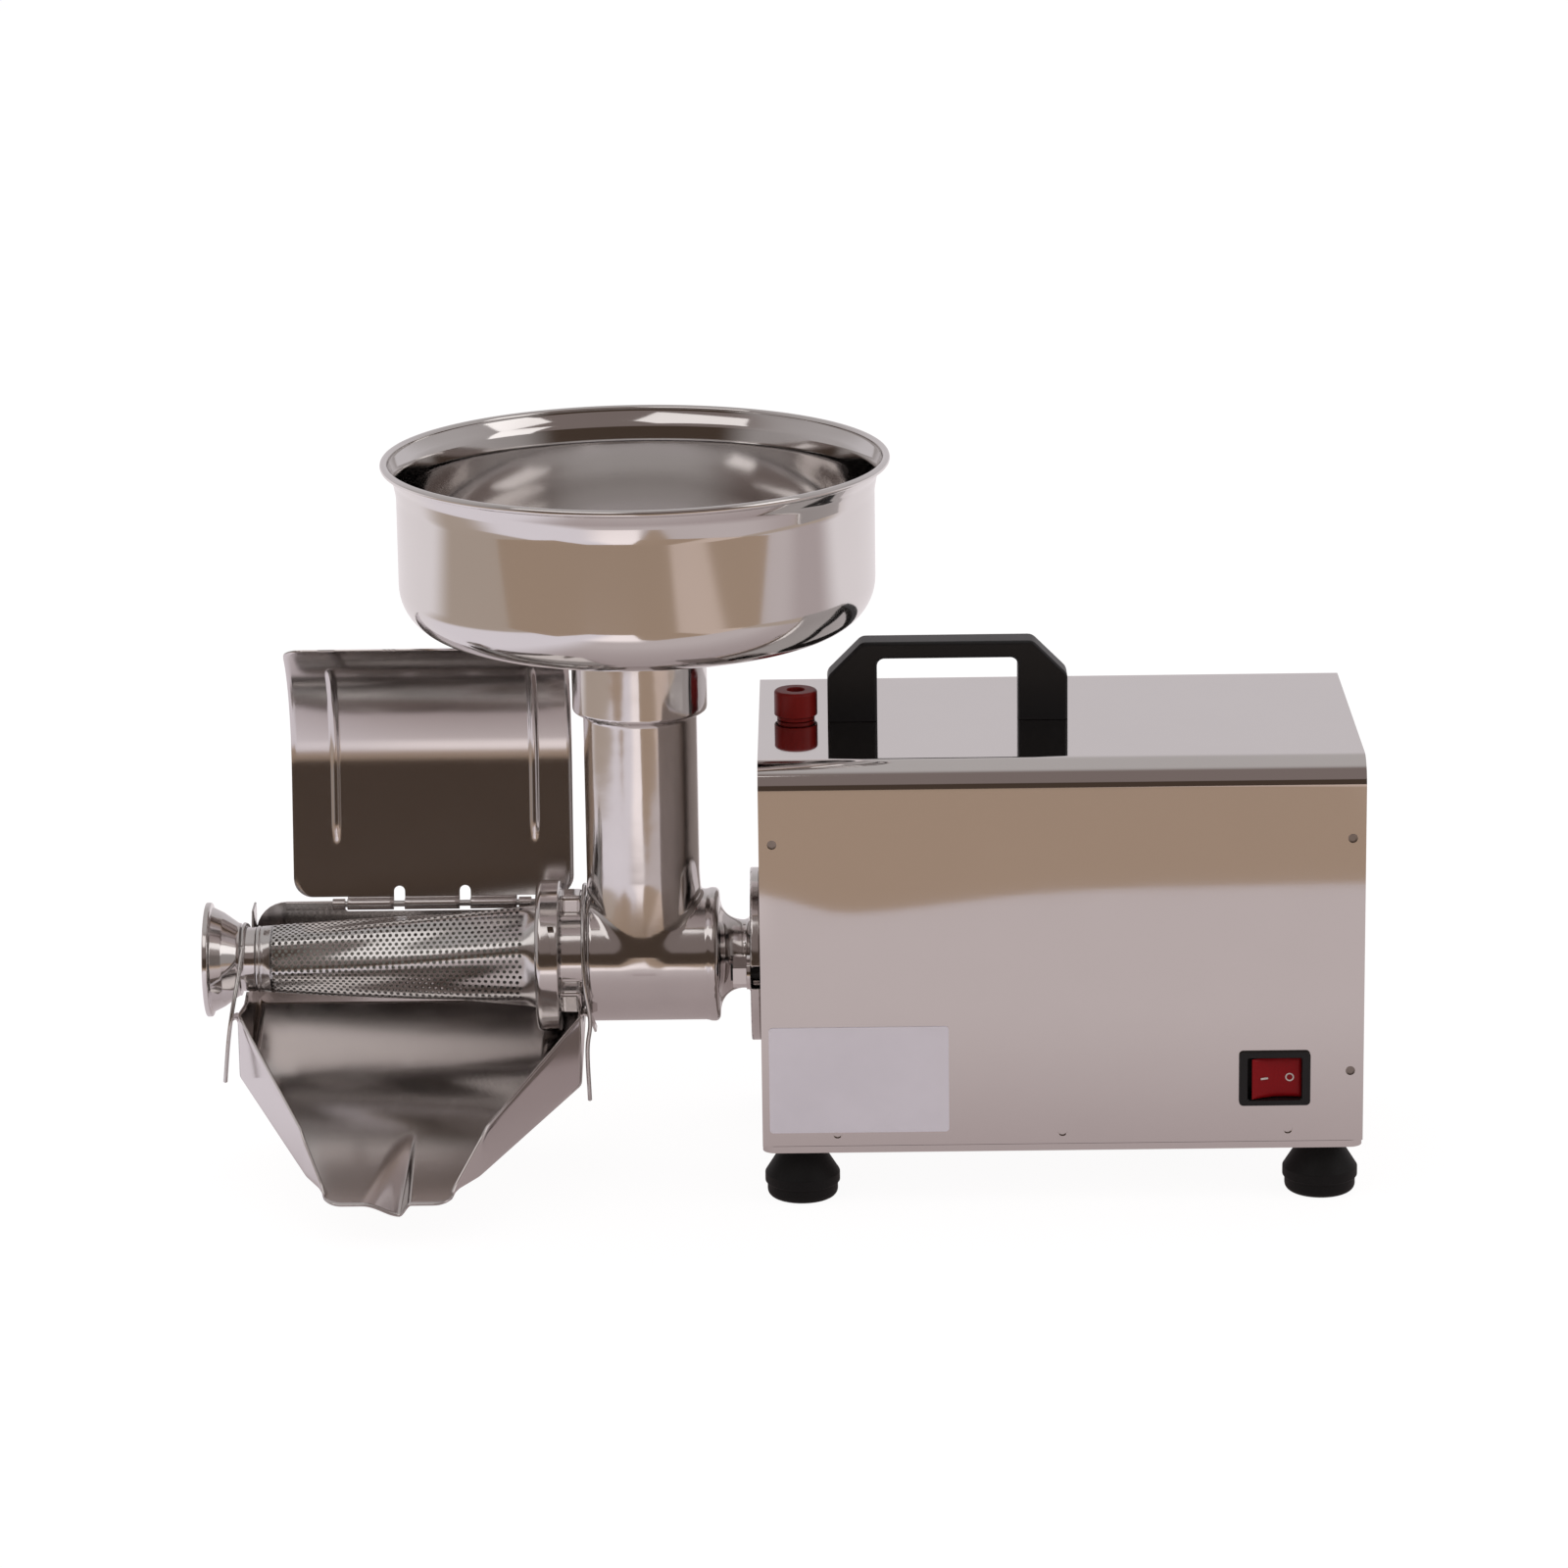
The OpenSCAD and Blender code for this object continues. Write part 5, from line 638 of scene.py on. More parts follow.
# distance to the casting: rods and blocks joined with fillets, less the bores
def castingDistance(p):
    a, c = along, casting
    end = a["shoulder"] + 0.4
    barrel = smoothMin(rod(p, pressAxis, 0, c["barrel"], a["barrel0"], end, c["rim"]),
                       rod(p, pressAxis, 0, c["bead"], a["shoulder"] - c["beadLong"], end, c["rim"]), 1.2)
    # the throat's foot swells to nearly the barrel's radius, so the two meet in a V
    swell = c["swell"] * np.clip((c["swellTop"] - p[..., 2]) / c["swellLong"], 0, 1) ** 1.5
    throat = rod(p, throatAxis, 2, c["throat"], c["throatLow"], c["throatHigh"]) - swell
    throat = np.maximum(np.maximum(throat, a["barrel0"] + 0.4 - p[..., 0]), c["throatLow"] - p[..., 2])
    body = smoothMin(barrel, throat, 2.5)
    body = smoothMin(body, rod(p, pressAxis, 0, c["neck"], a["shoulder"] - 20, a["flange1"]), 13.0)
    body = smoothMin(body, rod(p, pressAxis, 0, c["flange"], a["flange0"], a["flange1"], 0.7), 4.0)
    mouth = np.minimum(rod(p, pressAxis, 0, c["mouthNeck"], a["mouth"] - 3, a["barrel0"] + 6),
                       rod(p, pressAxis, 0, c["collar"], c["collarX"], a["mouth"], 0.6))
    lug = (a["mouth"], c["lugIn"], -c["lugHalf"]), (a["mouth"] + c["lugLong"], c["lugOut"], c["lugHalf"])
    for t in np.radians([60, 180, 300]):  # a lug points out at these angles from the bottom
        out, side = np.array([0, sin(t), -cos(t)]), np.array([0, cos(t), sin(t)])
        q = np.stack([p[..., 0], (p - pressAxis) @ out, (p - pressAxis) @ side], -1)
        mouth = np.minimum(mouth, block(q, *lug, 2.0))
    body = smoothMin(body, mouth, 1.6)
    body = smoothMin(body, rod(p, throatAxis, 2, c["socket"], c["socketLow"], c["top"], 1.6), 3.0)
    cuts = [rod(p, throatAxis, 2, c["throatBore"], 100, c["past"]),
            rod(p, throatAxis, 2, c["socketBore"], c["ledge"], c["past"]),
            rod(p, pressAxis, 0, c["bore"], -120, c["boreEnd"]),
            rod(p, pressAxis, 0, c["bushBore"], -40, -14),
            rod(p, pressAxis, 0, c["shaftBore"], c["shaftX"], 0)]
    # a slot for each stud, open to the side
    z = press["z"]
    for y, low, high in ((press["y"] - c["studY"], -20, 0), (press["y"] + c["studY"], 0, 20)):
        cuts.append(rod(p, (0, y, z), 0, c["slot"], -14, 0))
        cuts.append(block(p, (-14, y + low, z - c["slot"]), (0, y + high, z + c["slot"])))
    for cut in cuts:
        body = np.maximum(body, -cut)
    return body


# one point in each cell that the surface crosses, at the mean of its edge crossings and then moved
# onto the surface along its slope, and a quad round each crossed edge
def surfaceNet(distance, low, high, cell):
    axes = [np.arange(l, h + cell, cell) for l, h in zip(low, high)]
    shape = tuple(len(x) for x in axes)
    field = np.empty(shape)
    for i, x in enumerate(axes[0]):
        # slice by slice, so that the arrays stay small
        yy, zz = np.meshgrid(axes[1], axes[2], indexing="ij")
        field[i] = distance(np.stack([np.full_like(yy, x), yy, zz], -1))
    inside = field < 0
    cells = tuple(n - 1 for n in shape)
    sums, hits = np.zeros(cells + (3,)), np.zeros(cells)
    for axis in range(3):
        others = [i for i in range(3) if i != axis]
        for corner in ((0, 0), (0, 1), (1, 0), (1, 1)):
            near = [slice(0, n - 1) for n in shape]
            offset = np.zeros(cells + (3,))
            for o, k in zip(others, corner):
                near[o] = slice(k, shape[o] - 1 + k)
                offset[..., o] = k
            far = list(near)
            far[axis] = slice(1, shape[axis])
            f0, f1 = field[tuple(near)], field[tuple(far)]
            crossed = (f0 < 0) != (f1 < 0)
            offset[..., axis] = np.where(crossed, f0 / np.where(crossed, f0 - f1, 1), 0)
            sums += offset * crossed[..., None]
            hits += crossed
    active = hits > 0
    index = -np.ones(cells, int)
    index[active] = np.arange(active.sum())
    points = (np.argwhere(active) + sums[active] / hits[active][:, None]) * cell + np.array(low)
    faces = []
    for axis, (u, v) in enumerate(((1, 2), (2, 0), (0, 1))):
        near = [slice(1, n - 1) for n in shape]
        far = list(near)
        near[axis], far[axis] = slice(0, shape[axis] - 1), slice(1, shape[axis])
        a, b = inside[tuple(near)], inside[tuple(far)]
        base = np.argwhere(a != b)
        leaving = a[tuple(base.T)]
        base[:, [u, v]] += 1
        quad = []
        for du, dv in ((-1, -1), (0, -1), (0, 0), (-1, 0)):
            beside = base.copy()
            beside[:, u] += du
            beside[:, v] += dv
            quad.append(index[tuple(beside.T)])
        quad = np.stack(quad, 1)
        quad[~leaving] = quad[~leaving][:, ::-1]
        faces.append(quad)
    step = 0.02

    def slope(p):
        return np.stack([(distance(p + d) - distance(p - d)) / (2 * step) for d in np.eye(3) * step], -1)

    for _ in range(4):
        g = slope(points)
        move = distance(points)[:, None] * g / np.maximum((g ** 2).sum(-1), 0.2)[:, None]
        size = np.linalg.norm(move, axis=1)[:, None]
        points = points - move * np.minimum(1, 0.5 * cell / np.maximum(size, 1e-9))
    normals = slope(points)
    normals /= np.maximum(np.linalg.norm(normals, axis=1), 1e-9)[:, None]
    return points, np.vstack(faces).tolist(), normals


def makeCasting():
    cell = 1.25
    points, faces, normals = surfaceNet(castingDistance, (-110.3, -35.3, 52.7), (-4.3, 51.9, 248.1), cell)
    print("casting:", len(points), "points")
    makePiece("grinderCasting", points, faces, castSteel, "root", ["grinder_body"],
              normals=normals, outward=False)


# a profile of (x, radius) turned about the press axis; each slot for a pin is a block that is carried
# round the ring while it slides along X
def makeRing():
    ring = {"outer": 35.5, "hole": 25.5, "inner": 31.65, "lip": 2.0, "slotX": (-106.3, -103.4),
            "slotR": (29.5, 38.0), "slotFrom": 231.0, "slotTo": 253.0, "slide": 1.8, "steps": 10}
    x0, x1 = along["ring0"], along["ring1"]
    corners = [(x0, ring["hole"], 0.8), (x0, ring["outer"], 3.0), (x1, ring["outer"], 0.8),
               (x1, ring["inner"], 0.4), (x0 + ring["lip"], ring["inner"], 0.3),
               (x0 + ring["lip"], ring["hole"], 0.4)]
    piece = revolvePiece("lockingRing", corners, pressAxis, castSteel, "ring",
                         ["locking_ring"], steps=180)
    (xa, xb), (ra, rb), n = ring["slotX"], ring["slotR"], ring["steps"]
    x = np.array([xa, xb, xb, xa]) + np.linspace(0, ring["slide"], n)[:, None]
    r = np.array([ra, ra, rb, rb])
    cutters = []
    for i in range(3):
        t = np.radians(np.linspace(ring["slotFrom"], ring["slotTo"], n) + 120 * i)[:, None]
        points = np.stack([x, press["y"] + r * np.sin(t), press["z"] - r * np.cos(t)], -1)
        cutters.append((points.reshape(-1, 3), gridFaces(n, 4, loopColumns=True) + endFaces(n, 4)))
    carve(piece, cutters)


# a profile of (x, radius) turned about the press axis: sleeve, groove, waist, bell and rolled rim
def makeNozzle():
    x0, x1 = along["nozzle0"], along["nozzle1"]
    sleeve = [(x1, 12.3, 0.2), (x1 + 3.4, 12.3, 0.2), (x1 + 3.4, 11.0, 0.2), (x1 - 8.0, 11.0, 2.0)]
    rim = [(x0 + 8.5, 20.4, 6.0), (x0 + 2.6, 22.6, 1.0), (x0 + 1.4, 24.3, 0.4), (x0 + 0.2, 25.3, 0.3),
           (x0, 26.3, 0.6), (x0 + 0.4, 26.8, 0.5), (x0 + 2.7, 26.8, 1.0), (x0 + 3.3, 24.6, 0.8)]
    bell = [(x0 + 8.5, 22.0, 6.0), (x1 - 8.2, 17.0, 2.5), (x1 - 7.15, 17.0, 0.4), (x1 - 7.15, 15.0, 0.5),
            (x1, 15.0, 0.4)]
    revolvePiece("outletNozzle", sleeve + rim + bell, pressAxis, castSteel, "root",
                 ["outlet_nozzle"])


strainer = {"r1": 24.5, "r0": 15.5, "depth": 2.2, "shallow": 0.37, "flutes": 6, "twist": radians(45.0),
            "fade1": 5.0, "fade0": 4.0, "sheet": 0.9, "hole": 0.88, "pitch": 2.9, "cellWide": 2.35,
            "around": 54, "edge1": 5.5, "edge0": 3.5, "flangeX": (-110.0, -108.8), "flangeR": 31.3}


# radius = a straight taper less the flutes, which are (1 - cos) waves round the cone that turn along it
def strainerSkin(x, angle, inset):
    s, x0, x1 = strainer, along["cone0"], along["cone1"]
    share = (x1 - x) / (x1 - x0)
    base = s["r1"] + (s["r0"] - s["r1"]) * share
    fade = np.clip((x1 - x) / s["fade1"], 0, 1) * np.clip((x - x0) / s["fade0"], 0, 1)
    deep = s["depth"] * (1 - s["shallow"] * share) * fade
    radius = base - deep * (1 - np.cos(s["flutes"] * (angle - s["twist"] * share))) / 2 - inset
    out, down = radius * np.sin(angle), radius * np.cos(angle)
    return np.stack([x + 0 * angle, press["y"] + out, press["z"] - down], -1)


# columns of cells round the cone, every second one half a cell further on; each cell is a plate with
# six rim points round a hole of twelve points, once outside and once inside, and the hole's wall
def makeStrainer():
    s, x0, x1 = strainer, along["cone0"], along["cone1"]
    n = s["around"]
    turn = 2 * pi / n
    span = x1 - x0 - s["edge1"] - s["edge0"]
    rows = int(span / s["pitch"])
    pitch = span / rows
    top = x1 - s["edge1"]
    cellX, cellA, plain = [], [], []
    for j in range(n):
        odd = j % 2
        cellX += [top - (i + 0.5 + 0.5 * odd) * pitch for i in range(rows - odd)]
        cellA += [j * turn] * (rows - odd)
        if odd:
            plain += [(j * turn, top - 0.5 * pitch, top),
                      (j * turn, top - rows * pitch, top - (rows - 0.5) * pitch)]
    xMid, aMid = np.array(cellX), np.array(cellA)
    cells = len(xMid)
    localR = s["r1"] + (s["r0"] - s["r1"]) * (x1 - xMid) / (x1 - x0)
    # the hole's points stand towards the rim's points and half way between them
    rim = [(-0.5, -0.5), (0.5, -0.5), (0.5, 0.0), (0.5, 0.5), (-0.5, 0.5), (-0.5, 0.0)]
    towards = [atan2(v * pitch, u * s["cellWide"]) for u, v in rim]
    angles = []
    for t0, t1 in zip(towards, towards[1:] + towards[:1]):
        t1 += 2 * pi if t1 < t0 else 0
        angles += [t0, (t0 + t1) / 2]
    sides = []
    for inset in (0.0, s["sheet"]):
        ring = [strainerSkin(xMid - v * pitch, aMid + u * turn, inset) for u, v in rim]
        ring += [strainerSkin(xMid - s["hole"] * sin(t), aMid + s["hole"] * cos(t) / localR, inset)
                 for t in angles]
        sides.append(np.stack(ring, 1).reshape(-1, 3))
    own = len(rim) + len(angles)
    base = (np.arange(cells) * own)[:, None]
    shift = cells * own
    plates, walls = [], []
    for k in range(6):
        b0, b1 = k, (k + 1) % 6
        h0, h1, h2 = 6 + 2 * k, 7 + 2 * k, 6 + (2 * k + 2) % 12
        plates += [base + [b0, b1, h2, h1, h0], base + shift + [h0, h1, h2, b1, b0]]
        walls += [base + [a, b, shift + b, shift + a] for a, b in ((h0, h1), (h1, h2))]
    sheet = np.concatenate(sides), np.vstack(plates).tolist() + np.vstack(walls).tolist()
    # half cells without a hole fill the gaps at both ends, and plain bands lie beyond them
    bands = []
    for a, xa, xb in plain:
        for inset, s1 in ((0.0, 1), (s["sheet"], -1)):
            corners = [(xa, -0.5), (xb, -0.5), (xb, 0.5), (xa, 0.5)][::s1]
            quad = [strainerSkin(np.array([x]), np.array([a + d * turn]), inset) for x, d in corners]
            bands.append((np.vstack(quad), [[0, 1, 2, 3]]))
    a = (np.arange(n)[None, :] + 0.5) * turn
    for low, high in ((top, x1), (x0, top - rows * pitch)):
        x = np.linspace(low, high, 6)[:, None]
        both = np.concatenate([strainerSkin(x, a, 0.0), strainerSkin(x[::-1], a, s["sheet"])])
        bands.append((both.reshape(-1, 3), gridFaces(12, n, loopColumns=True)))
    # the flange in the ring, and at the other end a smooth ring, a groove and a bead
    (fa, fb), inner, endInner = s["flangeX"], 23.3, 12.5
    flange = [(x1 - 0.2, inner, 0), (x1 - 0.2, s["r1"], 0), (fa, s["r1"], 0.4), (fa, s["flangeR"], 0.3),
              (fb, s["flangeR"], 0.3), (fb, inner, 0.3)]
    end = [(x0 + 0.6, endInner, 0.3), (x0 + 0.6, 15.5, 0.5), (x0 - 1.2, 15.4, 0.4), (x0 - 1.5, 14.9, 0.3),
           (x0 - 1.9, 15.5, 0.6), (x0 - 3.7, 15.5, 0.9), (x0 - 3.7, endInner, 0.3)]
    bands += [revolve(rounded(corners, closed=True), pressAxis, "x", 120) for corners in (flange, end)]
    points, faces = merged([sheet] + bands)
    print("strainer:", cells, "holes")
    makePiece("strainerCone", points, faces, strainerSteel, "root", ["strainer_cone"],
              sharp=42, weighted=False)


# the bowl's sheet in (height, radius), turned about Z: spigot, dished bottom, wall, flare, rolled rim
def makeHopper():
    bowl = {"sheet": 1.0, "rim": np.array([333.2, 115.2]), "roll": 1.25}
    path = rounded([(223.0, 27.7, 0), (250.6, 27.7, 3.5), (256.1, 87.0, 0.0), (257.0, 109.3, 21.5),
                    (319.0, 109.3, 16.0), (326.5, 110.7, 8.0), (331.5, 113.9, 0)], step=6)
    t = np.radians(np.linspace(170, -95, 16))
    roll = bowl["rim"] + bowl["roll"] * np.stack([np.sin(t), np.cos(t)], 1)
    points, faces = revolve(thicken(np.vstack([path, roll]), bowl["sheet"]), throatAxis, "z", 200)
    makePiece("hopperBowl", points, faces, bowlSteel, "bowl", ["hopper"], sharp=50)


chute = {"x0": -248.1, "x1": -91.1, "flare": 3.0, "turnY": -22.0, "turnRight": -31.0, "lipY": -125.0,
         "lipZ": 20.0, "slope": tan(radians(14.0)), "backY": 46.5, "backZ": 112.5, "lip": 59.0, "t": 1.0,
         "fold": 4.0, "wall": 32.0, "breakAt": 0.75, "breakH": 21.0, "lipH": 1.5, "notch": 15.4,
         "wideNotch": 32.2, "corner": 9.0, "cornerLong": 22.0, "midX": -176.05}
hinge = {"y": 47.0, "rodY": 46.5, "z": 111.0, "gap": 1.8, "rod": 1.48, "rodX": (-210.9, -116.5), "curl": 2.3}
# the trough is a lopsided gutter that widens and deepens towards the lip, with a broad left bank and a
# steep right one; left and right hold each bank's width at the start and its growth
trough = {"startY": -66.0, "long": 59.0, "x": -167.6, "drift": 3.4, "left": (9.0, 8.0), "right": (2.0, 3.6),
          "deep": 5.2}
window = {"x0": -204.9, "x1": -122.5, "z": 107.5}


def chuteFloor(y):
    return chute["lipZ"] + (y - chute["lipY"]) * chute["slope"]


# how far y has come from low to high, from 0 to 1
def between(y, low, high):
    return np.clip((y - low) / (high - low), 0, 1)


# a cross-section carried along Y: down the left wall, round the fold, over the floor with its trough,
# round the fold and up the right wall; every value below is worked out for all sections at once
def makeChute():
    c = chute
    breakY = c["turnY"] - (c["turnY"] - c["lipY"]) * c["breakAt"]
    wallZ = chuteFloor(c["turnY"]) + c["wall"]
    notch = press["y"] + c["notch"] * np.sin(np.linspace(-pi / 2, pi / 2, 31))
    y = np.concatenate([np.linspace(c["lipY"], breakY, 14), np.linspace(breakY, c["turnRight"], 30)[1:],
                        np.linspace(c["turnRight"], c["turnY"], 5)[1:],
                        np.linspace(c["turnY"], -7.4, 6)[1:], notch,
                        np.linspace(23.6, c["backY"] - 0.2, 12)])
    y[0] += 0.2
    floor = chuteFloor(y)
    lip0, lip1 = c["midX"] - c["lip"] / 2, c["midX"] + c["lip"] / 2
    flared = c["x0"] - c["flare"]
    left = np.where(y < c["turnY"], lip0 + (flared - lip0) * between(y, c["lipY"], c["turnY"]),
                    c["x0"] - c["flare"] * (1 - between(y, c["turnY"], press["y"])))
    right = lip1 + (c["x1"] - lip1) * between(y, c["lipY"], c["turnRight"])
    # wall tops: a step up from the lip, then level, then up to the axis and to the back
    top = np.interp(y, [c["lipY"], breakY, c["turnY"], -7.0, 23.0, 32.0],
                    [c["lipZ"] + c["lipH"], chuteFloor(breakY) + c["breakH"], wallZ, wallZ, press["z"],
                     c["backZ"]])
    ahead = (c["turnY"] - c["turnRight"]) * between(y, breakY, c["turnY"])
    topAhead = np.interp(np.minimum(y + ahead, c["turnY"]), y, top)

    # a wall top dips in a half circle where the wall passes under the press axis
    def dipped(height, radius):
        off = y - press["y"]
        dip = press["z"] - np.sqrt(np.maximum(radius ** 2 - off ** 2, 0))
        return np.where(np.abs(off) <= radius + 0.01, np.minimum(height, dip), height)

    topLeft = dipped(top, c["notch"])[:, None]
    topRight = dipped(np.where(y < c["turnY"], topAhead, top), c["wideNotch"])[:, None]
    t = c["t"] / 2
    k = np.linspace(0, 1, 7)
    arcs = np.linspace(0, pi / 2, 7)
    z = floor[:, None] - t
    foldL = np.minimum(c["fold"], (topLeft - floor[:, None]) * 0.6)
    foldR = np.minimum(c["fold"], (topRight - floor[:, None]) * 0.6)
    xl, xr = (left + t)[:, None], (right - t)[:, None]
    wallL = np.stack([xl + 0 * k, topLeft + (z + foldL - topLeft) * k], -1)
    bendL = np.stack([xl + foldL - foldL * np.cos(arcs), z + foldL - foldL * np.sin(arcs)], -1)
    bendR = np.stack([xr - foldR + foldR * np.sin(arcs), z + foldR - foldR * np.cos(arcs)], -1)
    wallR = np.stack([xr + 0 * k, z + foldR + (topRight - z - foldR) * k], -1)
    # the trough's depth falls from its crease to its banks as half a cosine wave
    run = np.clip((trough["startY"] - y) / trough["long"], 0, 1)[:, None]
    crease = trough["x"] - trough["drift"] * run
    bankL, bankR = (trough[side][0] + trough[side][1] * run for side in ("left", "right"))
    start, end = xl + foldL, xr - foldR
    k1, k2, k3, k4 = (np.linspace(0, 1, n)[None, :] for n in (18, 16, 10, 22))
    x = np.concatenate([start + (crease - bankL - start) * k1[:, :-1], crease - bankL * (1 - k2[:, :-1]),
                        crease + bankR * k3[:, :-1], crease + bankR + (end - crease - bankR) * k4], 1)
    u = np.where(x < crease, (crease - x) / bankL, (x - crease) / bankR)
    valley = np.where(u < 1, 0.5 + 0.5 * np.cos(pi * np.clip(u, 0, 1) ** 0.9), 0)
    floorLine = np.stack([x, z - run ** 1.3 * trough["deep"] * valley], -1)
    line = np.concatenate([wallL[:, :-1], bendL, floorLine[:, 1:-1], bendR, wallR[:, 1:]], 1)
    yy = np.broadcast_to(y[:, None], line.shape[:2])
    points = np.stack([line[..., 0], yy, line[..., 1]], -1)
    # round corners at the lip: points near them slide back up the floor, most at the lip itself
    out = np.clip((np.abs(points[..., 0] - c["midX"]) - c["lip"] / 2 + c["corner"]) / c["corner"], 0, 1)
    slideBack = c["corner"] * (1 - np.sqrt(1 - 0.98 * out ** 2))
    slideBack *= np.clip(1 - (yy - c["lipY"]) / c["cornerLong"], 0, 1)
    points[..., 1] += slideBack
    points[..., 2] += slideBack * c["slope"]
    makePiece("chutePan", points.reshape(-1, 3), gridFaces(*line.shape[:2]), coverSteel, "root",
              ["chute"], outward=False, sharp=50, thick=c["t"])
    makeChuteBack(wallZ)
    # bright hem along the walls' top edges
    points, faces = merged([sweep(edge[y < -6.5], 0.75, 8) for edge in (points[:, 0], points[:, -1])])
    makePiece("chuteHem", points, faces, polished, "root", sharp=60)


# the back sheet is an outline in (x, z) with its window, with a hem over the top edge, two knuckles for
# the hinge rod, and ears at the front of the end walls that bend outwards at their tips
def makeChuteBack(wallZ):
    c, w = chute, window
    side, corner = 0.5, 15
    bottom = chuteFloor(c["backY"]) - side
    xa, xb, y, z = c["x0"] + side, c["x1"] - side, c["backY"], c["backZ"]
    outline = [(xa, bottom, 2), (xa, z, corner), (w["x0"], z, 1.5), (w["x0"], w["z"], 1.5),
               (w["x1"], w["z"], 1.5), (w["x1"], z, 1.5), (xb, z, corner), (xb, bottom, 2)]
    parts = [extrude(rounded(outline, closed=True), y - side, y + side, "xz")]
    hem = rounded([(y - 0.2, z - 4.0, 0.3), (y - 1.5, z - 4.0, 0.3), (y - 1.7, z + 0.2, 0.8),
                   (y + 0.5, z + 0.2, 0.8), (y + 0.5, z - 4.0, 0.2)], closed=True)
    parts += [extrude(hem, c["x0"] + corner, w["x0"]), extrude(hem, w["x1"], c["x1"] - corner)]
    for x in (w["x0"] - 6, w["x1"]):
        knuckle = [(x, 1.66, 0.1), (x, 2.65, 0.3), (x + 6, 2.65, 0.3), (x + 6, 1.66, 0.1)]
        parts.append(revolve(rounded(knuckle, closed=True), (0, hinge["rodY"], hinge["z"]), "x", 40))
    for x, s, n in ((c["x0"] - c["flare"] + side, -1, 4), (xb, 1, 5)):
        tip = [(0, -9.0), (0, -4.0), (1.4, -1.6), (4.2, -3.2), (7.0, -10.0)][:n]
        path = smoothLine([(x + s * across, wallZ + up) for across, up in tip], 4)
        parts.append(extrude(thicken(path, c["t"]), c["turnY"] + 0.2, c["turnY"] + 8.6, "xz"))
    points, faces = merged(parts)
    makePiece("chuteBack", points, faces, coverSteel, "root", sharp=40, bevel=0.25)


cover = {"x0": -229.4, "w": 133.0, "low": 2.7, "high": 128.0, "corner": 9.0, "lean": radians(10.5),
         "leg": 64.0, "bow": 61.5, "turn": radians(62.0), "ribX": (-208.6, -114.5), "rib": 1.25,
         "ribHalf": 2.6,
         "slots": [(-181.9, -176.7), (-150.7, -145.5)], "slotTop": 5.0, "slotFade": 18.0,
         "tabs": [(-203.9, 22.0), (-176.7, 26.0), (-145.5, 22.0)]}


# the cover's side view, from the hinge up: a straight leaning leg, then an arc that turns forward
def coverPath(steps):
    lean = cover["lean"]
    foot = np.array([hinge["y"] + hinge["gap"] + 0.5, hinge["z"]])
    top = foot + cover["leg"] * np.array([sin(lean), cos(lean)])
    middle = top + cover["bow"] * np.array([-cos(lean), sin(lean)])
    leg = foot + (top - foot) * np.linspace(0, 1, steps)[:, None]
    t = np.linspace(-lean, cover["turn"], steps)[1:, None]
    return np.vstack([leg, middle + cover["bow"] * np.hstack([np.cos(t), np.sin(t)])])


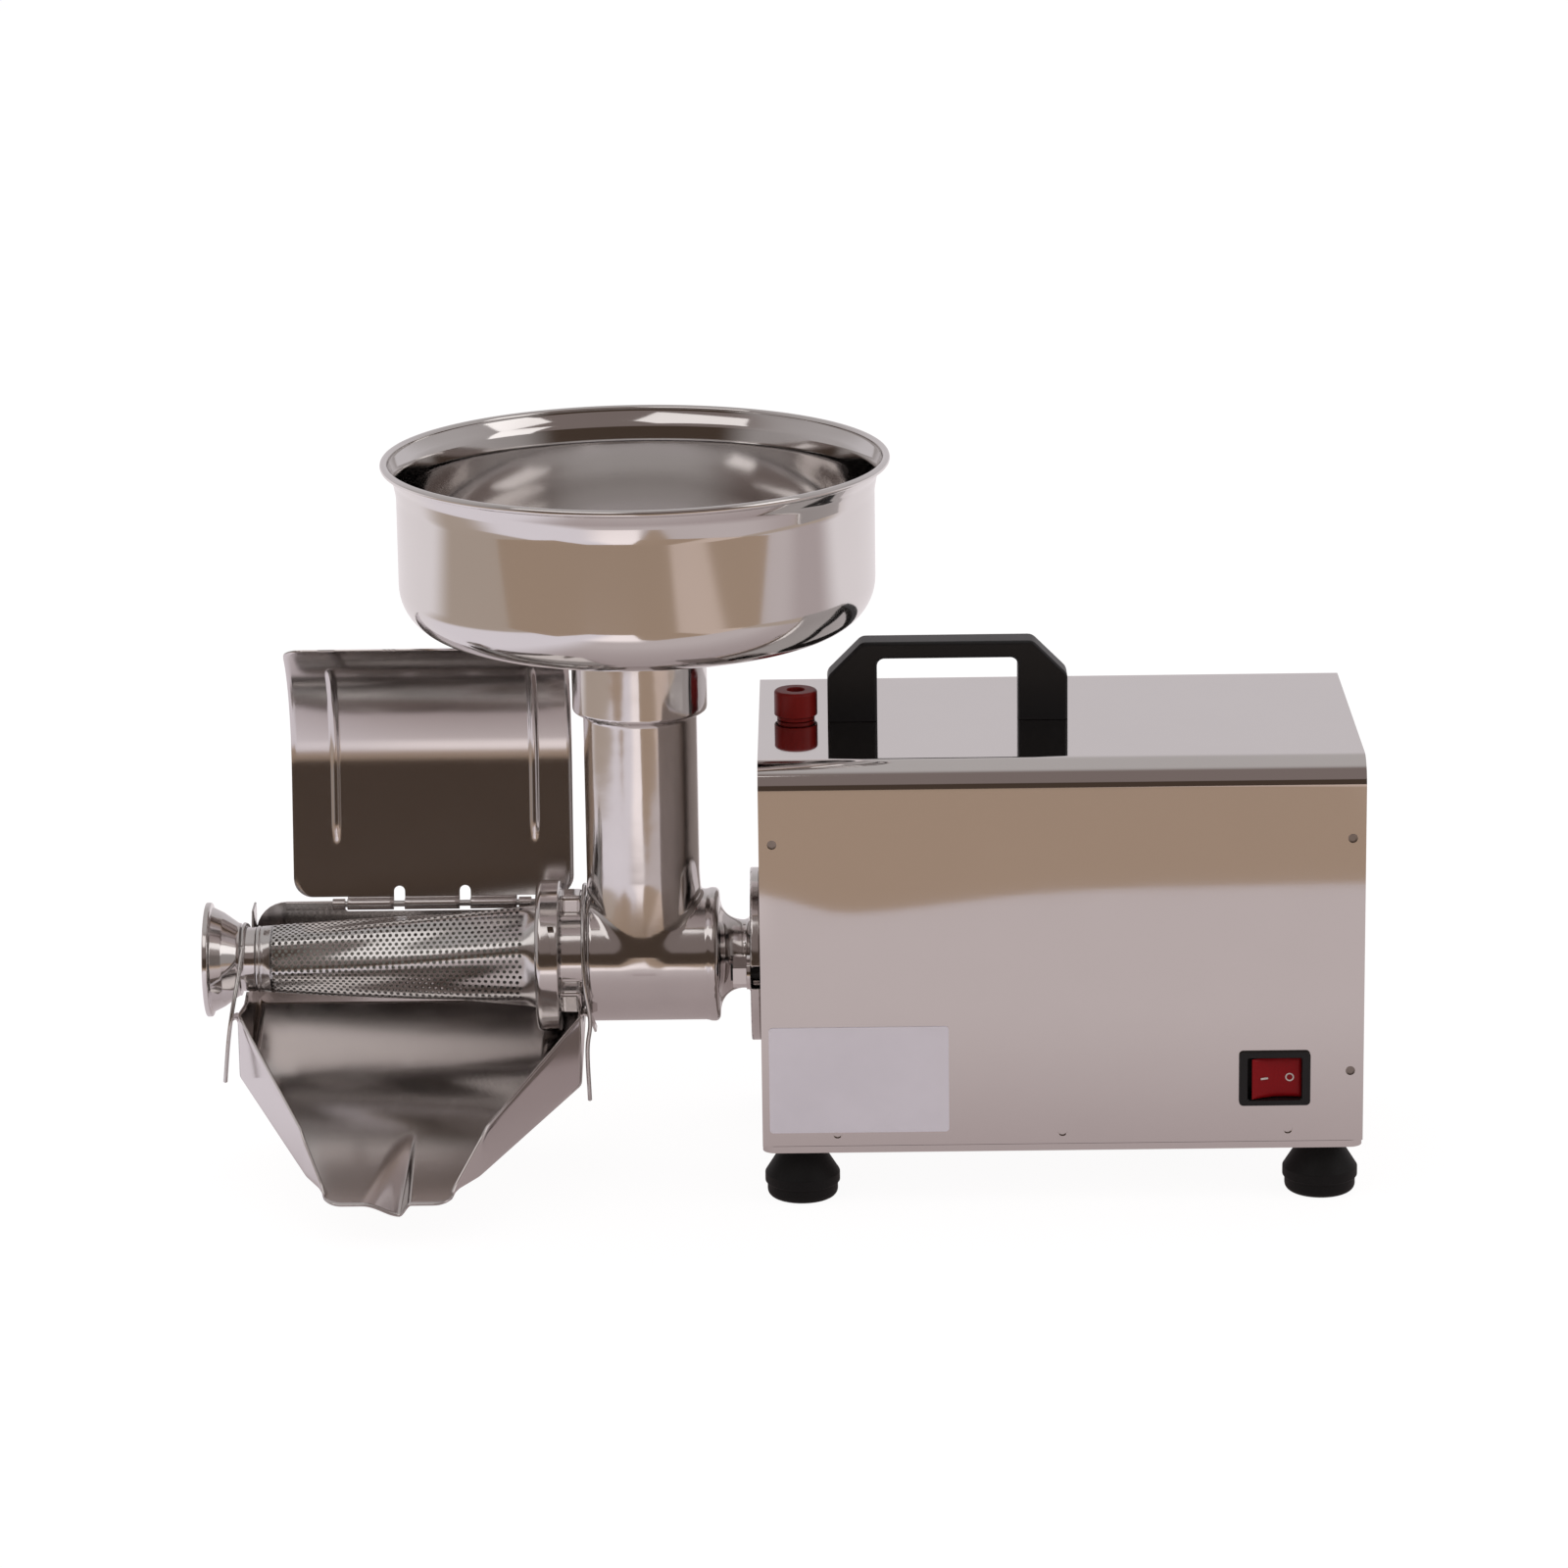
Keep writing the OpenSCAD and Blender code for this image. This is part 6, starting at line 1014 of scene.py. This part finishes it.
# a grid of (length along the side view, place along X): its half width loses a quarter circle at the
# corners, ribs stand proud as cosine waves, and slots lift its bottom edge
def makeCover():
    c, steps = cover, 60
    path = coverPath(steps)
    length = np.concatenate([[0], np.cumsum(np.linalg.norm(np.diff(path, axis=0), axis=1))])
    rise = path[:, 1] - hinge["z"]
    peak = int(rise.argmax()) + 1
    low = np.interp(c["low"], rise[:steps], length[:steps])
    high = length[-1] if rise.max() < c["high"] else np.interp(c["high"], rise[:peak], length[:peak])
    edge = c["corner"] * (1 - np.cos(np.linspace(0, pi / 2, 10)))
    s = np.concatenate([low + edge[:-1], np.linspace(low + c["corner"], high - c["corner"], 80),
                        high - edge[::-1][1:]])
    near = np.minimum(np.minimum(s - low, high - s), c["corner"])
    half = c["w"] / 2 - c["corner"] + np.sqrt(np.maximum(c["corner"] ** 2 - (c["corner"] - near) ** 2, 0))
    middle = c["x0"] + c["w"] / 2
    ribs = [x - middle for x in c["ribX"]]
    columns = [np.linspace(-c["w"] / 2, c["w"] / 2, 46)] + [np.linspace(rib - 4, rib + 4, 21) for rib in ribs]
    for a, b in c["slots"]:
        inSlot = a + (b - a) * (0.5 - 0.5 * np.cos(np.linspace(0, pi, 13)))
        columns.append(np.concatenate([[a - 0.02], inSlot, [b + 0.02]]) - middle)
    base = np.unique(np.round(np.concatenate(columns), 4))
    # only the outer columns follow the corner
    outer = 12
    inner = c["w"] / 2 - outer
    follow = np.sign(base) * (inner + (np.abs(base) - inner) * ((half[:, None] - inner) / outer))
    x = np.where(np.abs(base) > inner, follow, base)
    # a round-topped slot lifts the bottom edge between two tabs: height = straight part + half circle
    lowEdge = np.zeros_like(base)
    for a, b in c["slots"]:
        r = (b - a) / 2
        off = base + middle - (a + b) / 2
        arch = c["slotTop"] - r + np.sqrt(np.maximum(r * r - off * off, 0))
        lowEdge = np.where(np.abs(off) <= r + 1e-6, arch, lowEdge)
    at = s[:, None] + lowEdge * np.clip(1 - (s[:, None] - low) / c["slotFade"], 0, 1)
    y, z = (np.interp(at, length, path[:, i]) for i in (0, 1))
    alongY, alongZ = (np.interp(at, length, np.gradient(path[:, i], length)) for i in (0, 1))
    # ribs fade at both ends
    fade = np.clip((s - low - 26) / 8, 0, 1) * np.clip((high - 20 - s) / 8, 0, 1)
    lift = np.zeros_like(x)
    for rib in ribs:
        wave = c["rib"] * (0.5 + 0.5 * np.cos(pi * (x - rib) / c["ribHalf"]))
        lift += np.where(np.abs(x - rib) < c["ribHalf"], wave, 0)
    lift *= fade[:, None]
    points = np.stack([middle + x, y - alongZ * lift, z + alongY * lift], -1)
    parts = [(points.reshape(-1, 3), gridFaces(len(s), len(base)))]
    # tabs: down from the sheet's edge and round the hinge rod
    t = np.radians(np.linspace(0, -262, 24))
    curl = np.stack([hinge["y"] - 0.5 + hinge["curl"] * np.cos(t), hinge["z"] + hinge["curl"] * np.sin(t)], 1)
    down = np.linspace(low, 0.4, 4)
    strip = np.vstack([np.stack([np.interp(down, length, path[:, i]) for i in (0, 1)], 1), curl])
    for x0, w in c["tabs"]:
        lineX = np.linspace(x0, x0 + w, 12)
        grid = np.stack(np.broadcast_arrays(lineX, strip[:, :1], strip[:, 1:]), -1)
        parts.append((grid.reshape(-1, 3), gridFaces(len(strip), 12)))
    points, faces = merged(parts)
    makePiece("splashCover", points, faces, coverSteel, "cover", ["splash_cover"],
              outward=False, sharp=50, thick=1.0)
    rodPath = np.array([[x, hinge["rodY"], hinge["z"]] for x in np.linspace(*hinge["rodX"], 8)])
    points, faces = sweep(rodPath, hinge["rod"], 20)
    makePiece("hingeRod", points, faces, wireSteel, "root", ["hinge_rod"], sharp=50)


# each wire runs from its hole in the end wall over the press axis, on an arc whose radius shrinks to the
# part that it hangs on, and ends in a tail at the front, whose points are measured from the press axis
def makeWires():
    wire = {"r": 1.0, "y": 42.98, "z": 90.0, "left": 16.3, "right": 33.08, "reach": -32.0, "out": 4.0}
    out, reach = wire["out"], wire["reach"]
    over = wire["left"]
    leftTail = [(-out / 2, reach * 0.8, -over * 0.3), (-out, reach, -over),
                (-out * 1.5, reach * 1.05, -over * 1.8), (-out * 2, reach * 1.1, -over * 3)]
    over = wire["right"]
    rightTail = [(0.9, -over * 1.04, -over * 0.2), (2.9, -over * 1.06, -over * 0.66),
                 (1.4, -over * 1.09, -over * 1.07), (2.1, -over * 1.15, -over * 1.78)]
    fromY, fromZ = wire["y"] - press["y"], wire["z"] - press["z"]
    share = np.linspace(0, 1, 17)
    for name, side, body, x, s, stop, tail in (
            ("clipLeft", "left", "left_clip", -249.4, 1, 150, leftTail),
            ("clipRight", "right", "right_clip", -89.8, -1, 160, rightTail)):
        start = atan2(fromZ, fromY)
        t = start + (radians(stop) - start) * share
        r = wire[side] + (np.hypot(fromY, fromZ) - wire[side]) * np.maximum(1 - share * 2, 0) ** 2
        arc = np.stack([x + 0 * t, press["y"] + r * np.cos(t), press["z"] + r * np.sin(t)], 1)
        hook = [(x + s * 4.3, wire["y"], wire["z"]), (x + s * 2.0, wire["y"], wire["z"])]
        path = np.vstack([hook, arc, np.array(tail) + [x, press["y"], press["z"]]])
        points, faces = sweep(smoothLine(path, 6), wire["r"], 14)
        makePiece(name, points, faces, wireSteel, body, ["clip_" + side], sharp=60)


for maker in (makeCase, makeFeet, makeHandle, makeButton, makeBezel, makeRocker, makeCasting, makeRing,
              makeNozzle, makeStrainer, makeHopper, makeChute, makeCover, makeWires):
    maker()
    print("made:", maker.__name__)


white = (1.0, 1.0, 1.0)


# a glowing or a lit surface, mixed by a factor
def mixedSurface(r, factor, lit, glow):
    lit = r.add("BsdfDiffuse", {}, {"Color": lit})
    glow = r.add("Emission", {}, {"Color": glow, "Strength": 1.0})
    r.add("OutputMaterial", {}, {"Surface": r.add("MixShader", {}, {0: factor, 1: lit, 2: glow})})


# the paper is one flat sheet; in a mirror it carries a painted shadow of the object: it is painted darker
# near the object, grows brighter away from it, and is brightest behind
def makePaper():
    look = {"lit": (0.80, 0.76, 0.76), "seen": (1.09, 1.085, 1.085), "near": (0.42, 0.345, 0.345),
            "middle": (0.55, 0.475, 0.475), "far": (1.22, 1.10, 1.10), "left": (0.84, 0.78, 0.84),
            "card": (0.40, 0.31, 0.24), "behind": (0.88, 0.82, 0.84)}
    material, r = newMaterial("floorPaper")
    isCamera, isGlossy = (r.add("LightPath", output=name) for name in ("Is Camera Ray", "Is Glossy Ray"))
    x, y = r.split(r.add("TexCoord", output="Object"))[:2]
    # painted shadow: glossy rays see the paper darkest next to the object (near) and lighter further out
    # (middle); this is the object's shadow painted into the mirrored colour
    mirrored = r.mixColour(r.step(y, -0.12, -0.40), look["near"], look["middle"])
    for zone, shade in ((r.step(y, -0.45, -0.60) * r.step(x, 0.0, -0.05), "far"),
                        (r.step(x, -0.18, -0.34), "left"), (r.step(x, -0.66, -0.78), "card"),
                        (r.step(x, 0.60, 0.70) * r.step(x, 1.0, 0.9), "card"),
                        (r.step(y, 0.10, 0.50), "behind")):
        mirrored = r.mixColour(zone, mirrored, look[shade])
    factor = (isCamera * 0.86 + isGlossy * 0.8).clamped()
    mixedSurface(r, factor, look["lit"], r.mixColour(isGlossy, look["seen"], mirrored))
    # its front edge lies out of view and shows in the polished front as a soft wave
    edge = {"y": -0.598, "wave": 0.045, "waveX": 0.035, "cut": 0.44}
    x = np.linspace(-5.0, 5.0, 801)
    wave = edge["wave"] * np.exp(-((x - edge["waveX"]) / np.where(x < edge["waveX"], 0.035, 0.09)) ** 2)
    cut = edge["cut"] * np.clip((-0.03 - x) / 0.03, 0, 1) * np.clip((x + 0.5) / 0.04, 0, 1)
    rows = [np.stack([x, line, 0 * x], 1) for line in (edge["y"] + wave - cut, np.full_like(x, 4.6))]
    mesh = bpy.data.meshes.new("floorPaper")
    mesh.from_pydata(np.vstack(rows).tolist(), [], gridFaces(2, len(x)))
    mesh.materials.append(material)
    return addObject("floorPaper", mesh)


# the camera sees the table as white as the paper, and only the polished metal shows its colour, which is
# a little brighter to the right of the middle
def makeTable():
    look = {"dark": (0.46, 0.345, 0.26), "bright": (0.72, 0.58, 0.50), "brightX": 0.56}
    top = {"x": 9.0, "front": -7.0, "back": -0.5, "z": -0.002}
    material, r = newMaterial("tableTop")
    x = r.split(r.add("TexCoord", output="Object"))[0] - look["brightX"]
    band = r.mixColour(r.step(x.size(), 0.24, 0.16), look["dark"], look["bright"])
    mixedSurface(r, r.add("LightPath", output="Is Camera Ray"), band, white)
    corners = [(-top["x"], top["front"]), (top["x"], top["front"]), (top["x"], top["back"]),
               (-top["x"], top["back"])]
    mesh = bpy.data.meshes.new("tableTop")
    mesh.from_pydata([(*corner, top["z"]) for corner in corners], [], [[0, 1, 2, 3]])
    mesh.materials.append(material)
    return addObject("tableTop", mesh)


# in front a dark wall up to about 19 degrees and mid grey above it, light behind and overhead; what the
# camera sees is white, and what lights the dull surfaces is one plain colour
def makeWorld():
    look = {"front": (0.065, 0.045, 0.034), "upper": (0.21, 0.17, 0.16), "back": (0.62, 0.585, 0.60),
            "roof": (0.48, 0.455, 0.45), "low": (0.27, 0.21, 0.16), "plain": (0.70, 0.69, 0.69),
            "side": (0.42, 0.39, 0.385)}
    world = bpy.data.worlds.new("studio")
    bpy.context.scene.world = world
    world.use_nodes = True
    r = Recipe(world.node_tree)
    x, y, z = r.split(r.add("TexCoord", output="Generated"))
    front = r.mixColour(r.step(z, 0.29, 0.36), look["front"], look["upper"])
    back = r.mixColour(r.step(z, 0.30, 0.75), look["back"], look["roof"])
    colour = r.mixColour(r.step(y, -0.45, 0.25), front, back)
    for zone, shade in ((r.step(x.size(), 0.62, 0.9) * 0.8, look["side"]),
                        (r.step(z, 0.88, 0.99), look["roof"]),
                        (r.step(z, -0.10, -0.16), look["low"]),
                        (r.add("LightPath", output="Is Diffuse Ray"), look["plain"]),
                        (r.add("LightPath", output="Is Camera Ray"), white)):
        colour = r.mixColour(zone, colour, shade)
    background = r.add("Background", {}, {"Color": colour, "Strength": 1.0})
    r.add("OutputWorld", {}, {"Surface": background})


# a soft box whose face has the given radiance: power = radiance * pi * area
def makeLamp(name, place, target, size, glow, mirrored=True):
    light = bpy.data.lights.new(name, "AREA")
    light.shape, light.size, light.size_y = "RECTANGLE", size[0], size[1]
    light.energy, light.color = glow * pi * size[0] * size[1], (1.0, 0.98, 0.97)
    lamp = addObject(name, light)
    lamp.visible_glossy = mirrored
    place, target = Vector(place), Vector(target)
    turn = (target - place).to_track_quat("-Z", "Y")
    lamp.matrix_world = Matrix.Translation(place) @ turn.to_matrix().to_4x4()


# the photograph's own viewpoint, with its slight turn and roll
def makeCamera():
    view = {"place": (0.02555, -2.672567, 0.90853), "pitch": 0.26604, "yaw": 0.00792, "roll": -0.0139,
            "lens": 137.119}
    p, w, s = view["pitch"], view["yaw"], view["roll"]
    forward = Vector((-sin(w) * cos(p), cos(w) * cos(p), -sin(p)))
    right = Vector((cos(w), sin(w), 0))
    up = right.cross(forward)
    right, up = cos(s) * right + sin(s) * up, -sin(s) * right + cos(s) * up
    data = bpy.data.cameras.new("viewpoint")
    data.lens, data.sensor_width, data.sensor_fit = view["lens"], 36.0, "HORIZONTAL"
    data.clip_end = 50.0
    camera = addObject("viewpoint", data)
    turn = Matrix((right, up, -forward)).transposed().to_4x4()
    camera.matrix_world = Matrix.Translation(view["place"]) @ turn
    bpy.context.scene.camera = camera


paper, table = makePaper(), makeTable()
makeWorld()
makeLamp("keyBox", (-1.0, -1.25, 2.2), (-0.1, 0, 0.15), (1.9, 1.0), 0.8)
makeLamp("fillBox", (2.1, -0.9, 1.6), (0, 0, 0.15), (1.2, 1.5), 0.9)
makeLamp("topBox", (0.0, 0.9, 2.6), (0, 0, 0.2), (2.4, 1.5), 1.0, mirrored=False)
makeCamera()
bpy.context.scene.view_settings.view_transform = "Standard"
bpy.context.view_layer.update()
print("studio done")
